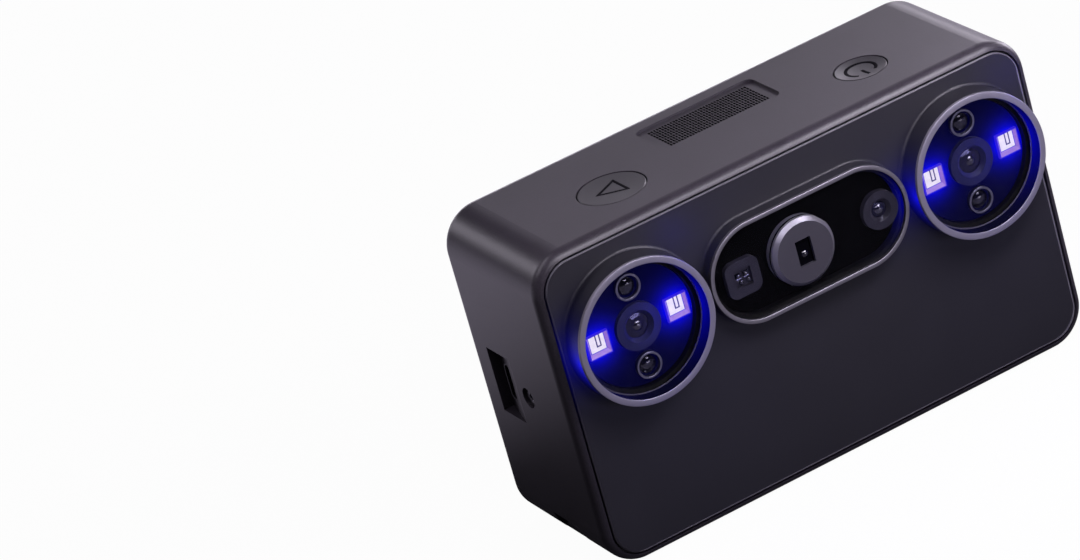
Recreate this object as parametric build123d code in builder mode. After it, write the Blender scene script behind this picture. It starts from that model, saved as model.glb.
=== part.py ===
"""Handheld three-d scanner with stereo cameras, a projector, a display and a battery door.

Millimetres, +Z up. The front with the lenses faces -Y and +X is at the right seen from the front.
The origin is the middle of the bottom, under the centre of the whole part's box.
"""

from build123d import *
import os
from math import cos, hypot, radians, sin, sqrt

# Shared clearances
overrun = 5.0
moving_gap = 0.3
seat_gap = 0.05
running_gap = 0.05
loose_gap = 0.2

# Casing
case_width = 125.0
case_height = 75.0
case_depth = 42.4
case_corner = 9.0
case_edge = 2.7
wall = 3.2
front_rim = 1.7
rear_rim = 2.0
groove = 0.5
plate_thickness = 2.0
plate_bevel = 0.3

# Round camera bosses on the front plate
ring_share = 0.1312
ring_side_margin = 3.3
ring_top_margin = 6.1
boss_rise = 6.25
ring_width = 1.45
ring_thickness = 0.8
boss_flare = 0.6
window_sink = 3.2
window_thickness = 0.9
window_ledge = 1.2

# Pieces behind the round windows
lens_clear = 0.15
board_drop = 1.2
light_board_thickness = 1.0
flange_lap = 1.8
flange_thickness = 2.0
camera_share = 0.3262
camera_mouth_share = 0.673
camera_tail = 6.0
camera_mouth_depth = 0.9
fill_lens_offset_share = 0.5732
fill_lens_share = 0.186
lamp_offset_share = 0.5976
lamp_share = 0.3293
lamp_height = 0.8

# Pill-shaped boss between them
pill_gap = 1.3
pill_share = 1.439
pill_rise = 3.8
pill_rim_width = 0.9
pill_rim_thickness = 0.8
pill_window_sink = 0.8
pill_ledge = 0.8
carrier_drop = 1.5
module_drop = 0.7
projector_shift_share = 0.0379
projector_head_share = 0.3263
projector_neck_share = 0.2542
projector_stand = 0.4
projector_bevel = 0.85
projector_tail = 8.0
slot_glass_width_share = 0.1653
slot_glass_height_share = 0.2585
slot_glass_sink = 0.8
slot_glass_thickness = 0.8
range_share = 0.3517
range_corner_share = 0.253
colour_end = 6.4
colour_share = 0.1864
colour_mouth_share = 0.591

# Optical bench
bench_thickness = 3.0
bench_margin = 2.0
bench_edge = 5.1
bench_top_margin = 5.0

# Rear bezel and display
display_side_margin = 12.0
display_end_margin = 9.7
display_lift = 1.3
display_corner = 4.5
display_glass_thickness = 1.0
display_ledge = 1.6
display_panel_thickness = 2.4
scoop_width = 3.6
scoop_height = 29.8
scoop_depth = 1.2
scoop_lift = 11.4

# Main board, heat sink and fan
standoff_radius = 2.2
standoff_length = 2.8
board_thickness = 1.6
board_margin = 2.5
board_foot = 12.0
sink_width = 30.0
sink_depth = 9.0
sink_height = 20.0
sink_base = 2.0
sink_fin = 1.0
sink_fins = 7
fan_size = 20.0
fan_height = 6.0
fan_corner = 1.5
fan_duct_radius = 9.2
fan_rear_margin = 14.7
fan_web = 1.0
fan_spoke = 1.6
fan_hub_radius = 3.6
fan_axle_radius = 1.0
fan_blades = 7
fan_blade_chord = 3.6
fan_blade_thickness = 0.7
fan_blade_pitch = 38.0
fan_tip_gap = 0.4

# Top buttons
button_pitch_share = 0.512
button_forward = 4.5
scan_radius = 7.55
power_radius = 5.85
scan_dish = 0.15
power_dish = 0.5
button_edge = 0.2
button_flange = 1.1
button_flange_thickness = 1.0
button_stem_radius = 2.4
button_stem_length = 1.2
button_travel = 0.8
switch_size = 6.0
switch_height = 3.0
switch_plunger_radius = 1.7
switch_plunger_height = 0.6
button_board_depth = 10.0
button_board_thickness = 1.2
button_post_radius = 1.6

# Top and bottom grilles
grille_sink = 0.6
grille_thickness = 1.2
grille_ledge = 1.6
grille_corner = 2.0
grille_hole_radius = 0.45
grille_hole_pitch = 1.5
top_vent_width = 30.2
top_vent_depth = 14.2
top_vent_rear_margin = 13.2
bottom_vent_share = 0.136
bottom_vent_place_share = 0.2128
bottom_vent_margin = 7.7
bottom_vent_bar = 2.8
bottom_front_share = 0.28

# Charging port on the -X side
port_rear_margin = 8.0
port_front = 2.8
port_pocket_height = 15.6
port_pocket_depth = 2.6
port_y_back = 8.4
port_shell_length = 9.0
port_shell_width = 3.3
port_shell_wall = 0.35
port_shell_depth = 6.5
port_tongue_thickness = 0.7
port_block_wall = 1.6
lock_forward = 1.8
lock_insert_radius = 1.6
lock_bore_radius = 0.8
lock_insert_length = 4.0
lock_mouth_radius = 2.4
lock_mouth_depth = 0.8

# Strap loop at the -X bottom corner
strap_angle = 45.0
strap_inset = 1.6
strap_bar_radius = 1.6
strap_pocket_radius = 5.2
strap_front = 8.2
strap_back = 2.8
strap_wall = 1.2

# Radio panel and mode switch on the +X side
panel_front_margin = 3.0
panel_back = 8.1
panel_top_margin = 9.6
panel_height = 18.8
panel_corner = 2.5
panel_thickness = 0.8
mode_forward = 4.7
mode_rise = 9.3
mode_slot_length = 8.2
mode_slot_height = 5.1
mode_knob_length = 5.8
mode_knob_height = 2.3
mode_knob_sink = 0.5
mode_travel = 1.9
mode_body_depth = 4.0
mode_body_margin = 1.6
antenna_length = 16.0
antenna_height = 5.0
antenna_thickness = 0.8
pin_hole_radius = 0.45
pin_hole_rear_margin = 8.8
pin_hole_drop = 0.6
microphone_radius = 2.0
microphone_length = 1.2

# Battery door, hinge and latch on the +X side
door_front_margin = 3.8
door_back = 7.9
door_thickness = 2.2
door_corner = 3.0
door_tail_inset = 3.9
finger_gap_length = 13.0
finger_gap_height = 0.7
hinge_angle = 38.0
hinge_depth = 1.4
hinge_pin_radius = 0.6
hinge_barrel_radius = 1.25
hinge_pin_hold = 1.4
trough_wall = 1.2
latch_forward = 6.0
latch_drop = 10.2
latch_recess_size = 8.8
latch_recess_depth = 1.3
latch_knob_height = 2.9
latch_travel = 2.5
latch_neck_width = 2.4
latch_neck_height = 2.0
latch_tongue_width = 5.0
latch_tongue_thickness = 0.8
latch_tongue_drop = 0.6

# Battery and its bay
bay_ledge = 2.0
bay_wall = 1.2
bay_inner_x = 10.0
battery_corner = 2.0
battery_gap = 0.25
battery_end_gap = 1.2
contact_length = 2.0
contact_height = 8.0
contact_depth = 10.0

# Bottom plates, tripod insert and screws
label_sink = 0.5
label_thickness = 0.4
label_corner = 2.0
label_margin = 7.6
large_label_place_share = 0.1408
large_label_share = 0.5264
small_label_place_share = 0.3568
small_label_share = 0.1104
tripod_edge = 2.7
tripod_bore_radius = 2.55
tripod_insert_radius = 4.95
tripod_insert_length = 9.0
tripod_recess_radius = 6.9
tripod_recess_depth = 0.9
tripod_wall = 1.8
tripod_chamfer = 0.6
screw_side_margin = 10.7
screw_face_margin = 5.2
screw_head_radius = 1.7
screw_head_height = 1.2
screw_head_sink = 0.3
screw_shank_radius = 1.0
screw_length = 5.0
screw_drive_radius = 0.8
screw_drive_depth = 0.6
screw_post_radius = 3.0
screw_post_height = 7.0

# Places that follow from the sizes
mid_y = boss_rise / 2
mid_z = case_height / 2
front_y = mid_y - case_depth / 2
rear_y = mid_y + case_depth / 2
side_x = case_width / 2
inner_x = side_x - wall
inner_top = case_height - wall
corner_x = side_x - case_corner
plate_inset = front_rim + groove
bezel_inset = rear_rim + groove
ring_radius = case_width * ring_share
lens_x = side_x - ring_side_margin - ring_radius
lens_height = case_height - ring_top_margin - ring_radius
lens_places = {"left": -lens_x, "right": lens_x}
window_bore = ring_radius - ring_width
window_back = boss_rise - window_sink - window_thickness
eye_bore = window_bore - window_ledge
camera_radius = ring_radius * camera_share
camera_mouth_radius = camera_radius * camera_mouth_share
fill_lens_offset = ring_radius * fill_lens_offset_share
fill_lens_radius = ring_radius * fill_lens_share
lamp_offset = ring_radius * lamp_offset_share
lamp_size = ring_radius * lamp_share
board_face = window_back - board_drop
eye_front = board_face - light_board_thickness
flange_back = -plate_thickness - flange_thickness
pill_length = 2 * (lens_x - ring_radius - pill_gap)
pill_height = ring_radius * pill_share
pill_window_back = pill_rise - pill_window_sink - window_thickness
pill_window_inset = pill_rim_width
pill_eye_inset = pill_rim_width + pill_ledge
carrier_face = pill_window_back - carrier_drop
module_tip = pill_window_back - lens_clear
module_z = lens_height - module_drop
projector_x = -pill_length * projector_shift_share
projector_head_radius = pill_height * projector_head_share
projector_neck_radius = pill_height * projector_neck_share
projector_face = pill_rise + projector_stand
slot_glass_width = pill_height * slot_glass_width_share
slot_glass_height = pill_height * slot_glass_height_share
range_size = pill_height * range_share
range_corner = range_size * range_corner_share
range_x = (projector_x - projector_head_radius - pill_length / 2 + pill_eye_inset) / 2
colour_x = pill_length / 2 - colour_end
colour_radius = pill_height * colour_share
colour_mouth_radius = colour_radius * colour_mouth_share
bench_back = flange_back - bench_thickness
bench_foot = module_z - projector_neck_radius - bench_edge
bench_tall = inner_top - bench_top_margin - bench_foot
display_width = case_width - 2 * display_side_margin
display_height = case_height - 2 * display_end_margin
display_z = mid_z + display_lift
board_depth = plate_thickness + standoff_length
board_front_y = rear_y - board_depth - board_thickness
button_y = mid_y - button_forward
button_x = case_width * button_pitch_share / 2
button_places = {"scan": (-button_x, scan_radius), "power": (button_x, power_radius)}
button_dishes = {"scan": scan_dish, "power": power_dish}
flange_top = inner_top - moving_gap
stem_foot = flange_top - button_flange_thickness - button_stem_length
switch_top = stem_foot - button_travel - moving_gap
switch_foot = switch_top - switch_height
fan_y = rear_y - fan_rear_margin
fan_foot = inner_top - fan_height
top_vent_y = rear_y - top_vent_rear_margin
bottom_vent_x = -case_width * bottom_vent_place_share
bottom_vent_width = case_width * bottom_vent_share
bottom_vent_depth = case_depth - 2 * bottom_vent_margin
port_back = case_depth / 2 - port_rear_margin
port_y = mid_y + port_y_back
port_floor = port_pocket_depth * (port_y_back - port_front) / (port_back - port_front)
lock_y = mid_y - lock_forward
block_front = lock_forward + lock_insert_radius + port_block_wall
block_back = port_back + port_block_wall
block_tall = port_pocket_height + 2 * port_block_wall
block_reach = port_pocket_depth + lock_insert_length
strap_reach = case_corner - strap_inset
strap_x = -corner_x - strap_reach * cos(radians(strap_angle))
strap_z = case_corner - strap_reach * sin(radians(strap_angle))
door_top = bench_foot - moving_gap - bay_wall + bay_ledge
door_front = case_depth / 2 - door_front_margin
panel_front = case_depth / 2 - panel_front_margin
panel_foot = case_height - panel_top_margin - panel_height
mode_y = mid_y - mode_forward
mode_z = panel_foot + mode_rise
mode_knob_z = mode_z + mode_travel / 2
pin_hole_y = rear_y - pin_hole_rear_margin
pin_hole_z = panel_foot - pin_hole_drop
hinge_reach = case_corner - hinge_depth
hinge_x = corner_x + hinge_reach * cos(radians(hinge_angle))
hinge_z = case_corner - hinge_reach * sin(radians(hinge_angle))
door_length = door_front + door_back
door_y = mid_y + (door_back - door_front) / 2
door_tail_x = side_x - door_tail_inset
door_tail_z = case_corner - sqrt(case_corner**2 - (door_tail_x - corner_x) ** 2)
door_recess = door_thickness + moving_gap
trough_radius = hypot(hinge_x - door_tail_x, hinge_z - door_tail_z) + moving_gap
latch_y = mid_y - latch_forward
latch_z = door_top - latch_drop
latch_recess_floor = side_x - latch_recess_depth
tongue_outer_x = side_x - door_thickness - moving_gap
tongue_inner_x = tongue_outer_x - latch_tongue_thickness
bay_y = door_y
bay_length_y = door_length - 2 * bay_ledge
bay_foot = max(hinge_z + trough_radius + trough_wall, case_corner) + moving_gap + bay_wall
bay_top = door_top - bay_ledge
bay_mid_z = (bay_foot + bay_top) / 2
bay_tall = bay_top - bay_foot
tongue_top = bay_top - latch_tongue_drop
contact_end_x = bay_inner_x + bay_wall + contact_length
battery_end_x = tongue_inner_x - battery_end_gap
label_depth = case_depth - 2 * label_margin
large_label_x = case_width * large_label_place_share
large_label_width = case_width * large_label_share
small_label_x = -case_width * small_label_place_share
small_label_width = case_width * small_label_share
tripod_y = mid_y - label_depth / 2 + tripod_recess_radius + tripod_edge
screw_x = side_x - screw_side_margin
screw_y = case_depth / 2 - screw_face_margin
screw_top = screw_head_sink + screw_head_height + screw_length
screw_places = [(sx * screw_x, mid_y + sy * screw_y) for sx in (-1, 1) for sy in (-1, 1)]


# Planes of the six sides
def front(rise):
    """Plane that faces -Y and stands rise in front of the front plate's face; sketch axes X and Z."""
    return Plane.XZ.offset(rise - front_y)


def rear(depth):
    """Plane that faces -Y at a depth inside the rear face; sketch axes X and Z."""
    return Plane.XZ.offset(depth - rear_y)


def across(y):
    """Plane that faces -Y at a place along Y; sketch axes X and Z."""
    return Plane.XZ.offset(-y)


def side(x):
    """Plane that faces +X at a place along X; sketch axes Y and Z."""
    return Plane.YZ.offset(x)


def level(z):
    """Plane that faces +Z at a height; sketch axes X and Y."""
    return Plane.XY.offset(z)


def case_outline(inset):
    """Rounded outline of the casing seen from the front, drawn in by inset."""
    with Locations((0, mid_z)):
        RectangleRounded(case_width - 2 * inset, case_height - 2 * inset, case_corner - inset)


def save(piece, name):
    """Label a finished piece and write its STEP file."""
    piece.part.label = name
    export_step(piece.part, f"parts/{name}.step")


os.makedirs("parts", exist_ok=True)


# Main shell: the hollow first, with everything that stays standing inside it
with BuildPart() as hollow:
    with BuildSketch(rear(-overrun)):
        case_outline(wall)
    extrude(amount=case_depth + 2 * overrun)
    # Posts for the corner screws
    with BuildSketch(level(0)):
        with Locations(*screw_places):
            Circle(screw_post_radius)
    extrude(amount=screw_post_height, mode=Mode.SUBTRACT)
    # Housing of the tripod insert
    with BuildSketch(level(0)):
        with Locations((0, tripod_y)):
            Circle(tripod_insert_radius + tripod_wall)
    extrude(amount=tripod_recess_depth + tripod_insert_length + tripod_wall, mode=Mode.SUBTRACT)
    # Posts that carry the two switch boards
    for cap_x, cap_radius in button_places.values():
        post_reach = cap_radius + button_flange + button_post_radius + moving_gap
        with BuildSketch(level(inner_top)):
            with Locations((cap_x - post_reach, button_y), (cap_x + post_reach, button_y)):
                Circle(button_post_radius)
        extrude(amount=switch_foot - inner_top, mode=Mode.SUBTRACT)
    # Trough round the door hinge
    with BuildSketch(across(mid_y + door_back + moving_gap + trough_wall)):
        with Locations((hinge_x, hinge_z)):
            Circle(trough_radius + trough_wall)
    extrude(amount=door_length + 2 * (moving_gap + trough_wall), mode=Mode.SUBTRACT)
    # Housing round the strap loop
    with BuildSketch(across(mid_y + strap_back + strap_wall)):
        with Locations((strap_x, strap_z)):
            Circle(strap_pocket_radius + strap_wall)
    extrude(amount=strap_front + strap_back + 2 * strap_wall, mode=Mode.SUBTRACT)
    # Block behind the charging port and its lock screw
    with BuildSketch(side(-side_x)):
        with Locations((mid_y + (block_back - block_front) / 2, mid_z)):
            Rectangle(block_front + block_back, block_tall)
    extrude(amount=block_reach, mode=Mode.SUBTRACT)

# Space that the battery door fills, with its seam
with BuildPart() as door_space:
    with BuildSketch(side(hinge_x - trough_radius)):
        with Locations((door_y, (door_top - overrun) / 2)):
            Rectangle(door_length + 2 * moving_gap, door_top + overrun + 2 * moving_gap)
    extrude(amount=trough_radius + side_x - hinge_x + overrun)
    fillet(door_space.edges().filter_by(Axis.X).group_by(Axis.Z)[-1], door_corner + moving_gap)
    with BuildSketch(rear(-overrun)):
        case_outline(door_recess)
    extrude(amount=case_depth + 2 * overrun, mode=Mode.SUBTRACT)

with BuildPart() as main_shell:
    with BuildSketch(rear(0)):
        case_outline(0)
    extrude(amount=case_depth)
    fillet(main_shell.faces().filter_by(Axis.Y).edges(), case_edge)
    add(hollow.part, mode=Mode.SUBTRACT)
    # Seats of the front plate and the rear bezel
    with BuildSketch(front(overrun)):
        case_outline(front_rim)
    extrude(amount=-overrun - plate_thickness, mode=Mode.SUBTRACT)
    with BuildSketch(rear(-overrun)):
        case_outline(rear_rim)
    extrude(amount=overrun + plate_thickness, mode=Mode.SUBTRACT)
    # Button holes
    for cap_x, cap_radius in button_places.values():
        with BuildSketch(level(inner_top - overrun)):
            with Locations((cap_x, button_y)):
                Circle(cap_radius + moving_gap)
        extrude(amount=wall + 2 * overrun, mode=Mode.SUBTRACT)
    # Vents: a seat for each grille and the opening behind it
    vents = (
        (0, top_vent_y, top_vent_width, top_vent_depth, case_height, -1),
        (bottom_vent_x, mid_y, bottom_vent_width, bottom_vent_depth, 0, 1),
    )
    for vent_x, vent_y, vent_width, vent_depth, face_z, inward in vents:
        with BuildSketch(level(face_z)):
            with Locations((vent_x, vent_y)):
                RectangleRounded(vent_width, vent_depth, grille_corner)
        extrude(amount=inward * (grille_sink + grille_thickness), mode=Mode.SUBTRACT)
        with BuildSketch(level(face_z)):
            with Locations((vent_x, vent_y)):
                Rectangle(vent_width - 2 * grille_ledge, vent_depth - 2 * grille_ledge)
        extrude(amount=inward * (wall + loose_gap), mode=Mode.SUBTRACT)
    # Charging port: sloped pocket, slot for the receptacle, lock screw
    with BuildSketch(level(mid_z - port_pocket_height / 2)):
        with BuildLine():
            Polyline(
                (-side_x - overrun, mid_y + port_back),
                (-side_x + port_pocket_depth, mid_y + port_back),
                (-side_x, mid_y + port_front),
                (-side_x - overrun, mid_y + port_front),
                close=True,
            )
        make_face()
    extrude(amount=port_pocket_height, mode=Mode.SUBTRACT)
    with BuildSketch(side(-side_x)):
        with Locations((port_y, mid_z)):
            SlotOverall(port_shell_length, port_shell_width, rotation=90)
    extrude(amount=port_pocket_depth + lock_insert_length + overrun, mode=Mode.SUBTRACT)
    with BuildSketch(side(-side_x)):
        with Locations((lock_y, mid_z)):
            Circle(lock_mouth_radius)
    extrude(amount=lock_mouth_depth, mode=Mode.SUBTRACT)
    with BuildSketch(side(-side_x)):
        with Locations((lock_y, mid_z)):
            Circle(lock_insert_radius)
    extrude(amount=lock_mouth_depth + lock_insert_length, mode=Mode.SUBTRACT)
    # Strap loop: a round channel that leaves the bar standing
    with BuildSketch(across(mid_y + strap_back)):
        with Locations((strap_x, strap_z)):
            Circle(strap_pocket_radius)
            Circle(strap_bar_radius, mode=Mode.SUBTRACT)
    extrude(amount=strap_front + strap_back, mode=Mode.SUBTRACT)
    # Radio panel seat, mode switch slot and pin hole
    with BuildSketch(side(side_x)):
        with Locations((mid_y + (panel_back - panel_front) / 2, panel_foot + panel_height / 2)):
            RectangleRounded(panel_front + panel_back, panel_height, panel_corner)
    extrude(amount=-panel_thickness, mode=Mode.SUBTRACT)
    with BuildSketch(side(inner_x - overrun)):
        with Locations((mode_y, mode_z)):
            SlotOverall(mode_slot_length, mode_slot_height)
    extrude(amount=wall + 2 * overrun, mode=Mode.SUBTRACT)
    with BuildSketch(side(inner_x - overrun)):
        with Locations((pin_hole_y, pin_hole_z)):
            Circle(pin_hole_radius)
    extrude(amount=wall + 2 * overrun, mode=Mode.SUBTRACT)
    # Battery door seat, hinge trough, pin holes, bay opening and tongue slot
    add(door_space.part, mode=Mode.SUBTRACT)
    with BuildSketch(across(mid_y + door_back + moving_gap)):
        with Locations((hinge_x, hinge_z)):
            Circle(trough_radius)
    extrude(amount=door_length + 2 * moving_gap, mode=Mode.SUBTRACT)
    with BuildSketch(across(mid_y + door_back + moving_gap + hinge_pin_hold)):
        with Locations((hinge_x, hinge_z)):
            Circle(hinge_pin_radius)
    extrude(amount=door_length + 2 * (moving_gap + hinge_pin_hold), mode=Mode.SUBTRACT)
    with BuildSketch(side(inner_x - loose_gap)):
        with Locations((bay_y, bay_mid_z)):
            RectangleRounded(bay_length_y, bay_tall, battery_corner)
    extrude(amount=wall + overrun, mode=Mode.SUBTRACT)
    with BuildSketch(side(inner_x - loose_gap)):
        with Locations((latch_y, bay_top + latch_travel / 2)):
            Rectangle(latch_tongue_width + 2 * moving_gap, latch_travel + 2 * moving_gap + bay_wall)
    extrude(amount=tongue_outer_x + moving_gap - inner_x + loose_gap, mode=Mode.SUBTRACT)
    # Bottom: label seats, tripod insert and screw holes
    with BuildSketch(level(0)):
        with Locations((large_label_x, mid_y)):
            RectangleRounded(large_label_width, label_depth, label_corner)
        with Locations((small_label_x, mid_y)):
            RectangleRounded(small_label_width, label_depth, label_corner)
    extrude(amount=label_sink, mode=Mode.SUBTRACT)
    with BuildSketch(level(0)):
        with Locations((0, tripod_y)):
            Circle(tripod_recess_radius)
    extrude(amount=tripod_recess_depth, mode=Mode.SUBTRACT)
    with BuildSketch(level(0)):
        with Locations((0, tripod_y)):
            Circle(tripod_insert_radius)
    extrude(amount=tripod_recess_depth + tripod_insert_length, mode=Mode.SUBTRACT)
    with BuildSketch(level(0)):
        with Locations(*screw_places):
            Circle(screw_head_radius + seat_gap)
    extrude(amount=screw_head_sink + screw_head_height, mode=Mode.SUBTRACT)
    with BuildSketch(level(0)):
        with Locations(*screw_places):
            Circle(screw_shank_radius)
    extrude(amount=screw_top, mode=Mode.SUBTRACT)
save(main_shell, "main_shell")


# Front plate with its three hollow bosses
def pill(inset):
    """Pill outline on the front, drawn in by inset."""
    with Locations((0, lens_height)):
        SlotOverall(pill_length - 2 * inset, pill_height - 2 * inset)


def discs(radius):
    """One disc on the centre of each stereo camera."""
    with Locations(*[(x, lens_height) for x in lens_places.values()]):
        Circle(radius)


def broad_front(piece):
    """The largest flat face of a piece that looks forward."""
    forward = piece.faces().filter_by(Axis.Y).filter_by(lambda face: face.normal_at().Y < 0)
    return forward.sort_by(SortBy.AREA)[-1]


with BuildPart() as front_plate:
    with BuildSketch(front(-plate_thickness)):
        case_outline(plate_inset)
    extrude(amount=plate_thickness)
    with BuildSketch(front(0)):
        discs(ring_radius)
    extrude(amount=boss_rise - ring_thickness)
    with BuildSketch(front(0)):
        pill(0)
    extrude(amount=pill_rise - pill_rim_thickness)
    flat = broad_front(front_plate)
    fillet([edge for wire in flat.inner_wires() for edge in wire.edges()], boss_flare)
    chamfer(broad_front(front_plate).outer_wire().edges(), plate_bevel)
    # Bores: a wide one down to the window's ledge and a narrow one right through
    with BuildSketch(front(window_back)):
        discs(window_bore)
    extrude(amount=boss_rise, mode=Mode.SUBTRACT)
    with BuildSketch(front(-plate_thickness)):
        discs(eye_bore)
    extrude(amount=plate_thickness + boss_rise, mode=Mode.SUBTRACT)
    with BuildSketch(front(pill_window_back)):
        pill(pill_window_inset)
    extrude(amount=pill_rise, mode=Mode.SUBTRACT)
    with BuildSketch(front(-plate_thickness)):
        pill(pill_eye_inset)
    extrude(amount=plate_thickness + pill_rise, mode=Mode.SUBTRACT)
save(front_plate, "front_plate")


# Each stereo camera: ring, window, light board, lamps, lenses and housing
def camera_set(name, x):
    """Make the pieces of the round boss at x."""
    with BuildPart() as ring:
        with BuildSketch(front(boss_rise - ring_thickness)):
            with Locations((x, lens_height)):
                Circle(ring_radius)
                Circle(window_bore, mode=Mode.SUBTRACT)
        extrude(amount=ring_thickness)
    save(ring, f"lens_ring_{name}")

    with BuildPart() as window:
        with BuildSketch(front(window_back)):
            with Locations((x, lens_height)):
                Circle(window_bore - seat_gap)
        extrude(amount=window_thickness)
    save(window, f"window_{name}")

    with BuildPart() as board:
        with BuildSketch(front(eye_front)):
            with Locations((x, lens_height)):
                Circle(eye_bore - loose_gap)
                Circle(camera_radius + seat_gap, mode=Mode.SUBTRACT)
        extrude(amount=light_board_thickness)
    save(board, f"light_board_{name}")

    with BuildPart() as lamps:
        with BuildSketch(front(board_face)):
            with Locations((x - lamp_offset, lens_height), (x + lamp_offset, lens_height)):
                Rectangle(lamp_size, lamp_size)
        extrude(amount=lamp_height)
    save(lamps, f"blue_lamps_{name}")

    with BuildPart() as fill_lenses:
        with BuildSketch(front(board_face)):
            with Locations((x, lens_height - fill_lens_offset), (x, lens_height + fill_lens_offset)):
                Circle(fill_lens_radius)
        extrude(amount=board_drop - lens_clear)
    save(fill_lenses, f"fill_lenses_{name}")

    with BuildPart() as housing:
        with BuildSketch(front(flange_back)):
            with Locations((x, lens_height)):
                Circle(eye_bore + flange_lap)
        extrude(amount=flange_thickness)
        with BuildSketch(front(-plate_thickness)):
            with Locations((x, lens_height)):
                Circle(eye_bore - loose_gap)
        extrude(amount=plate_thickness + eye_front)
        with BuildSketch(front(flange_back)):
            with Locations((x, lens_height)):
                Circle(camera_radius)
        extrude(amount=overrun + boss_rise, mode=Mode.SUBTRACT)
    save(housing, f"camera_housing_{name}")

    with BuildPart() as camera:
        with BuildSketch(front(bench_back - camera_tail)):
            with Locations((x, lens_height)):
                Circle(camera_radius)
        extrude(amount=window_back - lens_clear - bench_back + camera_tail)
        with BuildSketch(front(window_back - lens_clear)):
            with Locations((x, lens_height)):
                Circle(camera_mouth_radius)
        extrude(amount=-camera_mouth_depth, taper=45, mode=Mode.SUBTRACT)
    save(camera, f"stereo_camera_{name}")


for camera_name, camera_x in lens_places.items():
    camera_set(camera_name, camera_x)

# Pill boss: rim, window, carrier, projector, range module and colour camera
with BuildPart() as pill_rim:
    with BuildSketch(front(pill_rise - pill_rim_thickness)):
        pill(0)
        with Locations((0, lens_height)):
            SlotOverall(
                pill_length - 2 * pill_rim_width, pill_height - 2 * pill_rim_width, mode=Mode.SUBTRACT
            )
    extrude(amount=pill_rim_thickness)
save(pill_rim, "pill_rim")

with BuildPart() as pill_window:
    with BuildSketch(front(pill_window_back)):
        pill(pill_window_inset + seat_gap)
        with Locations((projector_x, module_z)):
            Circle(projector_head_radius + loose_gap, mode=Mode.SUBTRACT)
    extrude(amount=window_thickness)
save(pill_window, "pill_window")

with BuildPart() as projector_carrier:
    with BuildSketch(front(flange_back)):
        pill(pill_eye_inset - flange_lap)
    extrude(amount=flange_thickness)
    with BuildSketch(front(-plate_thickness)):
        pill(pill_eye_inset + loose_gap)
    extrude(amount=plate_thickness + carrier_face)
    with BuildSketch(front(flange_back)):
        with Locations((projector_x, module_z)):
            Circle(projector_neck_radius)
        with Locations((colour_x, module_z)):
            Circle(colour_radius)
        with Locations((range_x, module_z)):
            RectangleRounded(range_size, range_size, range_corner)
    extrude(amount=overrun + boss_rise, mode=Mode.SUBTRACT)
save(projector_carrier, "projector_carrier")

with BuildPart() as projector_barrel:
    with BuildSketch(front(bench_back - projector_tail)):
        with Locations((projector_x, module_z)):
            Circle(projector_neck_radius)
    extrude(amount=carrier_face - bench_back + projector_tail)
    with BuildSketch(front(carrier_face)):
        with Locations((projector_x, module_z)):
            Circle(projector_head_radius)
    extrude(amount=projector_face - carrier_face)
    chamfer(projector_barrel.faces().sort_by(Axis.Y)[0].edges(), projector_bevel)
    with BuildSketch(front(projector_face)):
        with Locations((projector_x, module_z)):
            Rectangle(slot_glass_width, slot_glass_height)
    extrude(amount=-slot_glass_sink - slot_glass_thickness, mode=Mode.SUBTRACT)
save(projector_barrel, "projector_barrel")

with BuildPart() as projector_window:
    with BuildSketch(front(projector_face - slot_glass_sink - slot_glass_thickness)):
        with Locations((projector_x, module_z)):
            Rectangle(slot_glass_width, slot_glass_height)
    extrude(amount=slot_glass_thickness)
save(projector_window, "projector_window")

with BuildPart() as range_module:
    with BuildSketch(front(flange_back)):
        with Locations((range_x, module_z)):
            RectangleRounded(range_size, range_size, range_corner)
    extrude(amount=module_tip - flange_back)
    with BuildSketch(front(module_tip)):
        with Locations((range_x, module_z)):
            Rectangle(range_size - 2 * range_corner, range_size - 2 * range_corner)
    extrude(amount=-camera_mouth_depth, mode=Mode.SUBTRACT)
save(range_module, "range_module")

with BuildPart() as colour_camera:
    with BuildSketch(front(flange_back)):
        with Locations((colour_x, module_z)):
            Circle(colour_radius)
    extrude(amount=module_tip - flange_back)
    with BuildSketch(front(module_tip)):
        with Locations((colour_x, module_z)):
            Circle(colour_mouth_radius)
    extrude(amount=-camera_mouth_depth, taper=45, mode=Mode.SUBTRACT)
save(colour_camera, "colour_camera")

# Optical bench: the bar that holds cameras and projector in line
with BuildPart() as optical_bench:
    with BuildSketch(front(bench_back)):
        with Locations((0, bench_foot + bench_tall / 2)):
            RectangleRounded(2 * (inner_x - bench_margin), bench_tall, bench_margin)
        with Locations(*[(x, lens_height) for x in lens_places.values()]):
            Circle(camera_radius, mode=Mode.SUBTRACT)
        with Locations((projector_x, module_z)):
            Circle(projector_neck_radius, mode=Mode.SUBTRACT)
    extrude(amount=bench_thickness)
save(optical_bench, "optical_bench")


# Rear bezel, display glass and panel
def screen(inset):
    """Rounded outline of the display, drawn in by inset."""
    with Locations((0, display_z)):
        RectangleRounded(display_width - 2 * inset, display_height - 2 * inset, display_corner - inset)


with BuildPart() as rear_bezel:
    with BuildSketch(rear(0)):
        case_outline(bezel_inset)
    extrude(amount=plate_thickness)
    chamfer(rear_bezel.faces().sort_by(Axis.Y)[-1].edges(), plate_bevel)
    with BuildSketch(rear(0)):
        screen(0)
    extrude(amount=display_glass_thickness, mode=Mode.SUBTRACT)
    with BuildSketch(rear(0)):
        screen(display_ledge)
    extrude(amount=plate_thickness, mode=Mode.SUBTRACT)
    # Thumb scoop along the -X edge
    with BuildSketch(rear(0)):
        with Locations((-side_x + bezel_inset, mid_z + scoop_lift)):
            RectangleRounded(2 * scoop_width, scoop_height, scoop_width - groove)
    extrude(amount=scoop_depth, mode=Mode.SUBTRACT)
save(rear_bezel, "rear_bezel")

with BuildPart() as display_glass:
    with BuildSketch(rear(0)):
        screen(seat_gap)
    extrude(amount=display_glass_thickness)
save(display_glass, "display_glass")

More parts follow.
